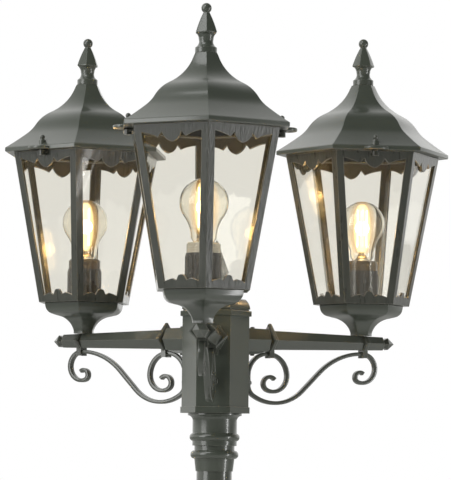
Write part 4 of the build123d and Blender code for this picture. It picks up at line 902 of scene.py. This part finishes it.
ROD_CIRCLE, ROD_FOOT, ROD_TOP = 6, -122, -74
ROD_RADIUS, WIRE_RADIUS, CROSS_RADIUS = 1.1, 0.5, 0.3
LAMP_POWER, LAMP_COLOUR, LAMP_RADIUS = 1.7, (1.0, 0.6, 0.24), 0.01
WIRE_RING = [(ROD_CIRCLE * math.cos(math.radians(a)), ROD_CIRCLE * math.sin(math.radians(a)))
             for a in range(0, 361, 15)]
for side in SIDES:
    at = ON_STEM[side]
    body = f"{side}_bulb_body"
    piece(f"{side}_blown_glass", [turned("glass", GLASS, bulb_glass, sides=72, placement=at)], body,
          f"{side}_bulb_glass", slot="clear_glass")
    piece(f"{side}_screw_cap", [turned("cap", CAP, cap_metal, sides=48, placement=at)], body,
          f"{side}_bulb_cap", slot="cap_metal")
    inside = [turned("mount", MOUNT, bulb_glass, sides=32, placement=at),
              rod("wire", [(0, 0, ROD_FOOT - 5), (0, 0, ROD_TOP)], WIRE_RADIUS, zinc_steel, at)]
    for height in (ROD_FOOT, ROD_TOP):
        inside.append(rod("ring", [(x, y, height) for x, y in WIRE_RING], WIRE_RADIUS, zinc_steel, at))
        inside += [rod("cross", [(-x, -y, height), (x, y, height)], CROSS_RADIUS, zinc_steel, at)
                   for x, y in ((ROD_CIRCLE, 0), (0, ROD_CIRCLE))]
    inside += [rod("rod", [(x, y, ROD_FOOT - 1), (x, y, ROD_TOP + 1)], ROD_RADIUS, filament_glow, at)
               for x, y in WIRE_RING[:-1:6]]
    piece(f"{side}_lit_filament", inside, body, f"{side}_filament", slot="lamp_glass")
    piece(f"{side}_glare", [turned("glare", sleeve(*GLARE_SIZE), lamp_glare, sides=32, placement=at),
                            turned("halo", sleeve(*HALO_SIZE), lamp_halo, sides=32, placement=at)], body,
          slot="lamp_glass")
    light = bpy.data.lights.new(f"{side}_lamp", "POINT")
    light.energy, light.color, light.shadow_soft_size = LAMP_POWER, LAMP_COLOUR, LAMP_RADIUS
    lamp = bpy.data.objects.new(f"{side}_lamp", light)
    lamp.location = at @ Vector((0, 0, GLARE_MIDDLE * MM))
    bpy.context.scene.collection.objects.link(lamp)
print("bulbs for", SIDES)

# %% [markdown]
# ## Scrolls
# One bar bends both ways from the screw that holds it to the hub: up into a closed loop with an eye, and
# down, out and up again to a second eye under the lantern.

# %% Bend the scrolls
SCREW_POINT = (47, -56)
OUTWARD = [3.07, (15.8, 57), (58.004, 77.4), 35.637, (91, -44.4), (19.2, -196.5), (6.8, -208)]
INWARD = [9.9, (28.4, -180), (20.7, -114), (9.1, -206)]
BAR_WIDTH, BAR_THICKNESS, BAR_CORNER = 8.0, 5.0, 0.9
line = walk(SCREW_POINT, -90, OUTWARD)[::-1] + walk(SCREW_POINT, 90, INWARD)[1:]
for side in SIDES:
    bar = evaluate("bar", path_mesh(line), sweep, ON_ARM[side], Width=BAR_WIDTH, Thickness=BAR_THICKNESS,
                   Corner_Radius=BAR_CORNER, Material=bar_paint)
    scroll = piece(f"{side}_bent_scroll", [bar], "post", f"{side}_scroll")
print("scroll: points", len(line), "faces", len(scroll.data.polygons))

# %% [markdown]
# ## The turned post
# The capital and the knop are turned sleeves on a round tube. Each is one closed outline with its own bore.

# %% Turn the post
HUB_FOOT = 1696.5


def ring(neck, bulge, high, low):
    """The outline of a rounded ring between two heights on a neck."""
    return arc_through((neck, high), (bulge, (high + low) / 2), (neck, low), 10)


top = HUB_FOOT
CAPITAL = ([(23.1, top), (34.6, top), (35, top - 0.5), (35, top - 2.5), (34.5, top - 3)]
           + arc_to((34.5, top - 3), (28.8, top - 9), (-1, -0.1), 8)[0] + [(28.8, top - 26)]
           + ring(28.8, 32.5, top - 26, top - 36) + [(28.8, top - 41.6), (28.4, top - 42), (26, top - 42),
                                                     (26, top - 48)]
           + ring(26, 31.2, top - 48, top - 59) + [(24.1, top - 75), (23.1, top - 75)])
TUBE = [(22.9, 1718.5), (22.9, 900), (20.3, 900), (20.3, 1718.5)]
KNOP = ([(23.1, 958), (30.6, 958), (31, 958.4), (31, 966)] + arc_through((31, 966), (33, 971), (29, 976), 10)
        + arc_to((29, 976), (38, 1010), (0.2, 1), 14)[0]
        + arc_to((26.9, 1044), (38, 1010), (0.1, -1), 14)[0][-2::-1] + [(26.9, 1044)]
        + arc_through((26.9, 1044), (29.9, 1050), (26.9, 1056), 10) + [(24.9, 1062), (23.1, 1062)])
post_pieces = {
    "turned_capital": (CAPITAL, cast_paint, "post_capital"),
    "round_tube": (TUBE, bar_paint, "upper_tube"),
    "turned_knop": (KNOP, cast_paint, "knop"),
}
for name, (points, material, node) in post_pieces.items():
    piece(name, [turned(name, points, material, sides=72, closed=True)], "post", node)
print("turned:", list(post_pieces))

# %% [markdown]
# ## The hub's cap
# The cap is six-sided like the hub: a rim, a groove, a rounded tier and a spear on a thin neck, cast in one.

# %% Cast the cap
CAP_FOOT = 1822.1
HUB_CAP = ([(0, 99.2), (0.6, 99), (13.5, 58.1), (14, 57.5), (14, 56.9), (13.6, 56.4), (7.7, 48.8),
            (7.5, 48.1), (9.4, 30), (9.9, 29), (11, 28.3), (23.8, 22.6), (24.6, 22.2), (32.5, 22.2),
            (33.3, 21.8)]
           + arc_to((38.6, 9.2), (33.3, 21.8), (0, 1), 8)[0][-2::-1]
           + [(38.6, 9.2), (37.3, 9.2), (37.3, 7), (39.8, 7), (40.3, 6.5), (40.3, 0.5), (39.8, 0), (31.2, 0),
              (31.2, -8), (27.2, -8), (27.2, 9.2), (0, 9.2)])
cap = hexagonal("cap", HUB_CAP, cast_paint, Matrix.Translation((0, 0, CAP_FOOT * MM)))
piece("spear_cap", [cap], "post", "hub_cap")
print("cap faces:", len(cap.polygons))

# %% [markdown]
# ## Bowls under the lanterns
# A shallow six-sided bowl closes each cage from below and draws in to a neck that stands on the arm.

# %% Cast the bowls
NECK_FOOT = -241.24
BOWL = ([(5.3, -201), (48.5, -201), (49, -201.5), (48.3, -205.6), (48.2, -206)]
        + arc_to((48.2, -206), (38.5, -216), (-0.15, -1), 10)[0] + [(33.2, -217.5)]
        + arc_to((33.2, -217.5), (12.5, NECK_FOOT + 3.5), (-1, -0.18), 12)[0]
        + [(12.5, NECK_FOOT + 0.4), (12.1, NECK_FOOT), (5.3, NECK_FOOT)])
for side in SIDES:
    bowl = hexagonal("bowl", BOWL, cast_paint, ON_STEM[side], closed=True)
    piece(f"{side}_bowl", [bowl], "post", f"{side}_base")
print("bowl faces:", len(bowl.polygons))

# %% [markdown]
# ## Threads on the lampholders
# The insert of each lampholder has a coarse thread outside for a shade ring. CAD leaves it plain; here a thin
# rib is swept along a helix round it.

# %% Cut the threads
THREAD_RADIUS, THREAD_PITCH, THREAD_LOW, THREAD_HIGH = 20.4, 2.9, -153.4, -143.6
RIB, RIB_CORNER = 1.1, 0.5
screw_line = path_mesh(helix(THREAD_RADIUS, THREAD_PITCH, THREAD_LOW, THREAD_HIGH))
for side in SIDES:
    thread = evaluate("thread", screw_line, sweep, ON_STEM[side], Width=RIB, Thickness=RIB,
                      Corner_Radius=RIB_CORNER, Material=INSERT_FINISHES[side])
    piece(f"{side}_holder_thread", [thread], "post", slot="porcelain")
print("thread faces:", len(thread.polygons))
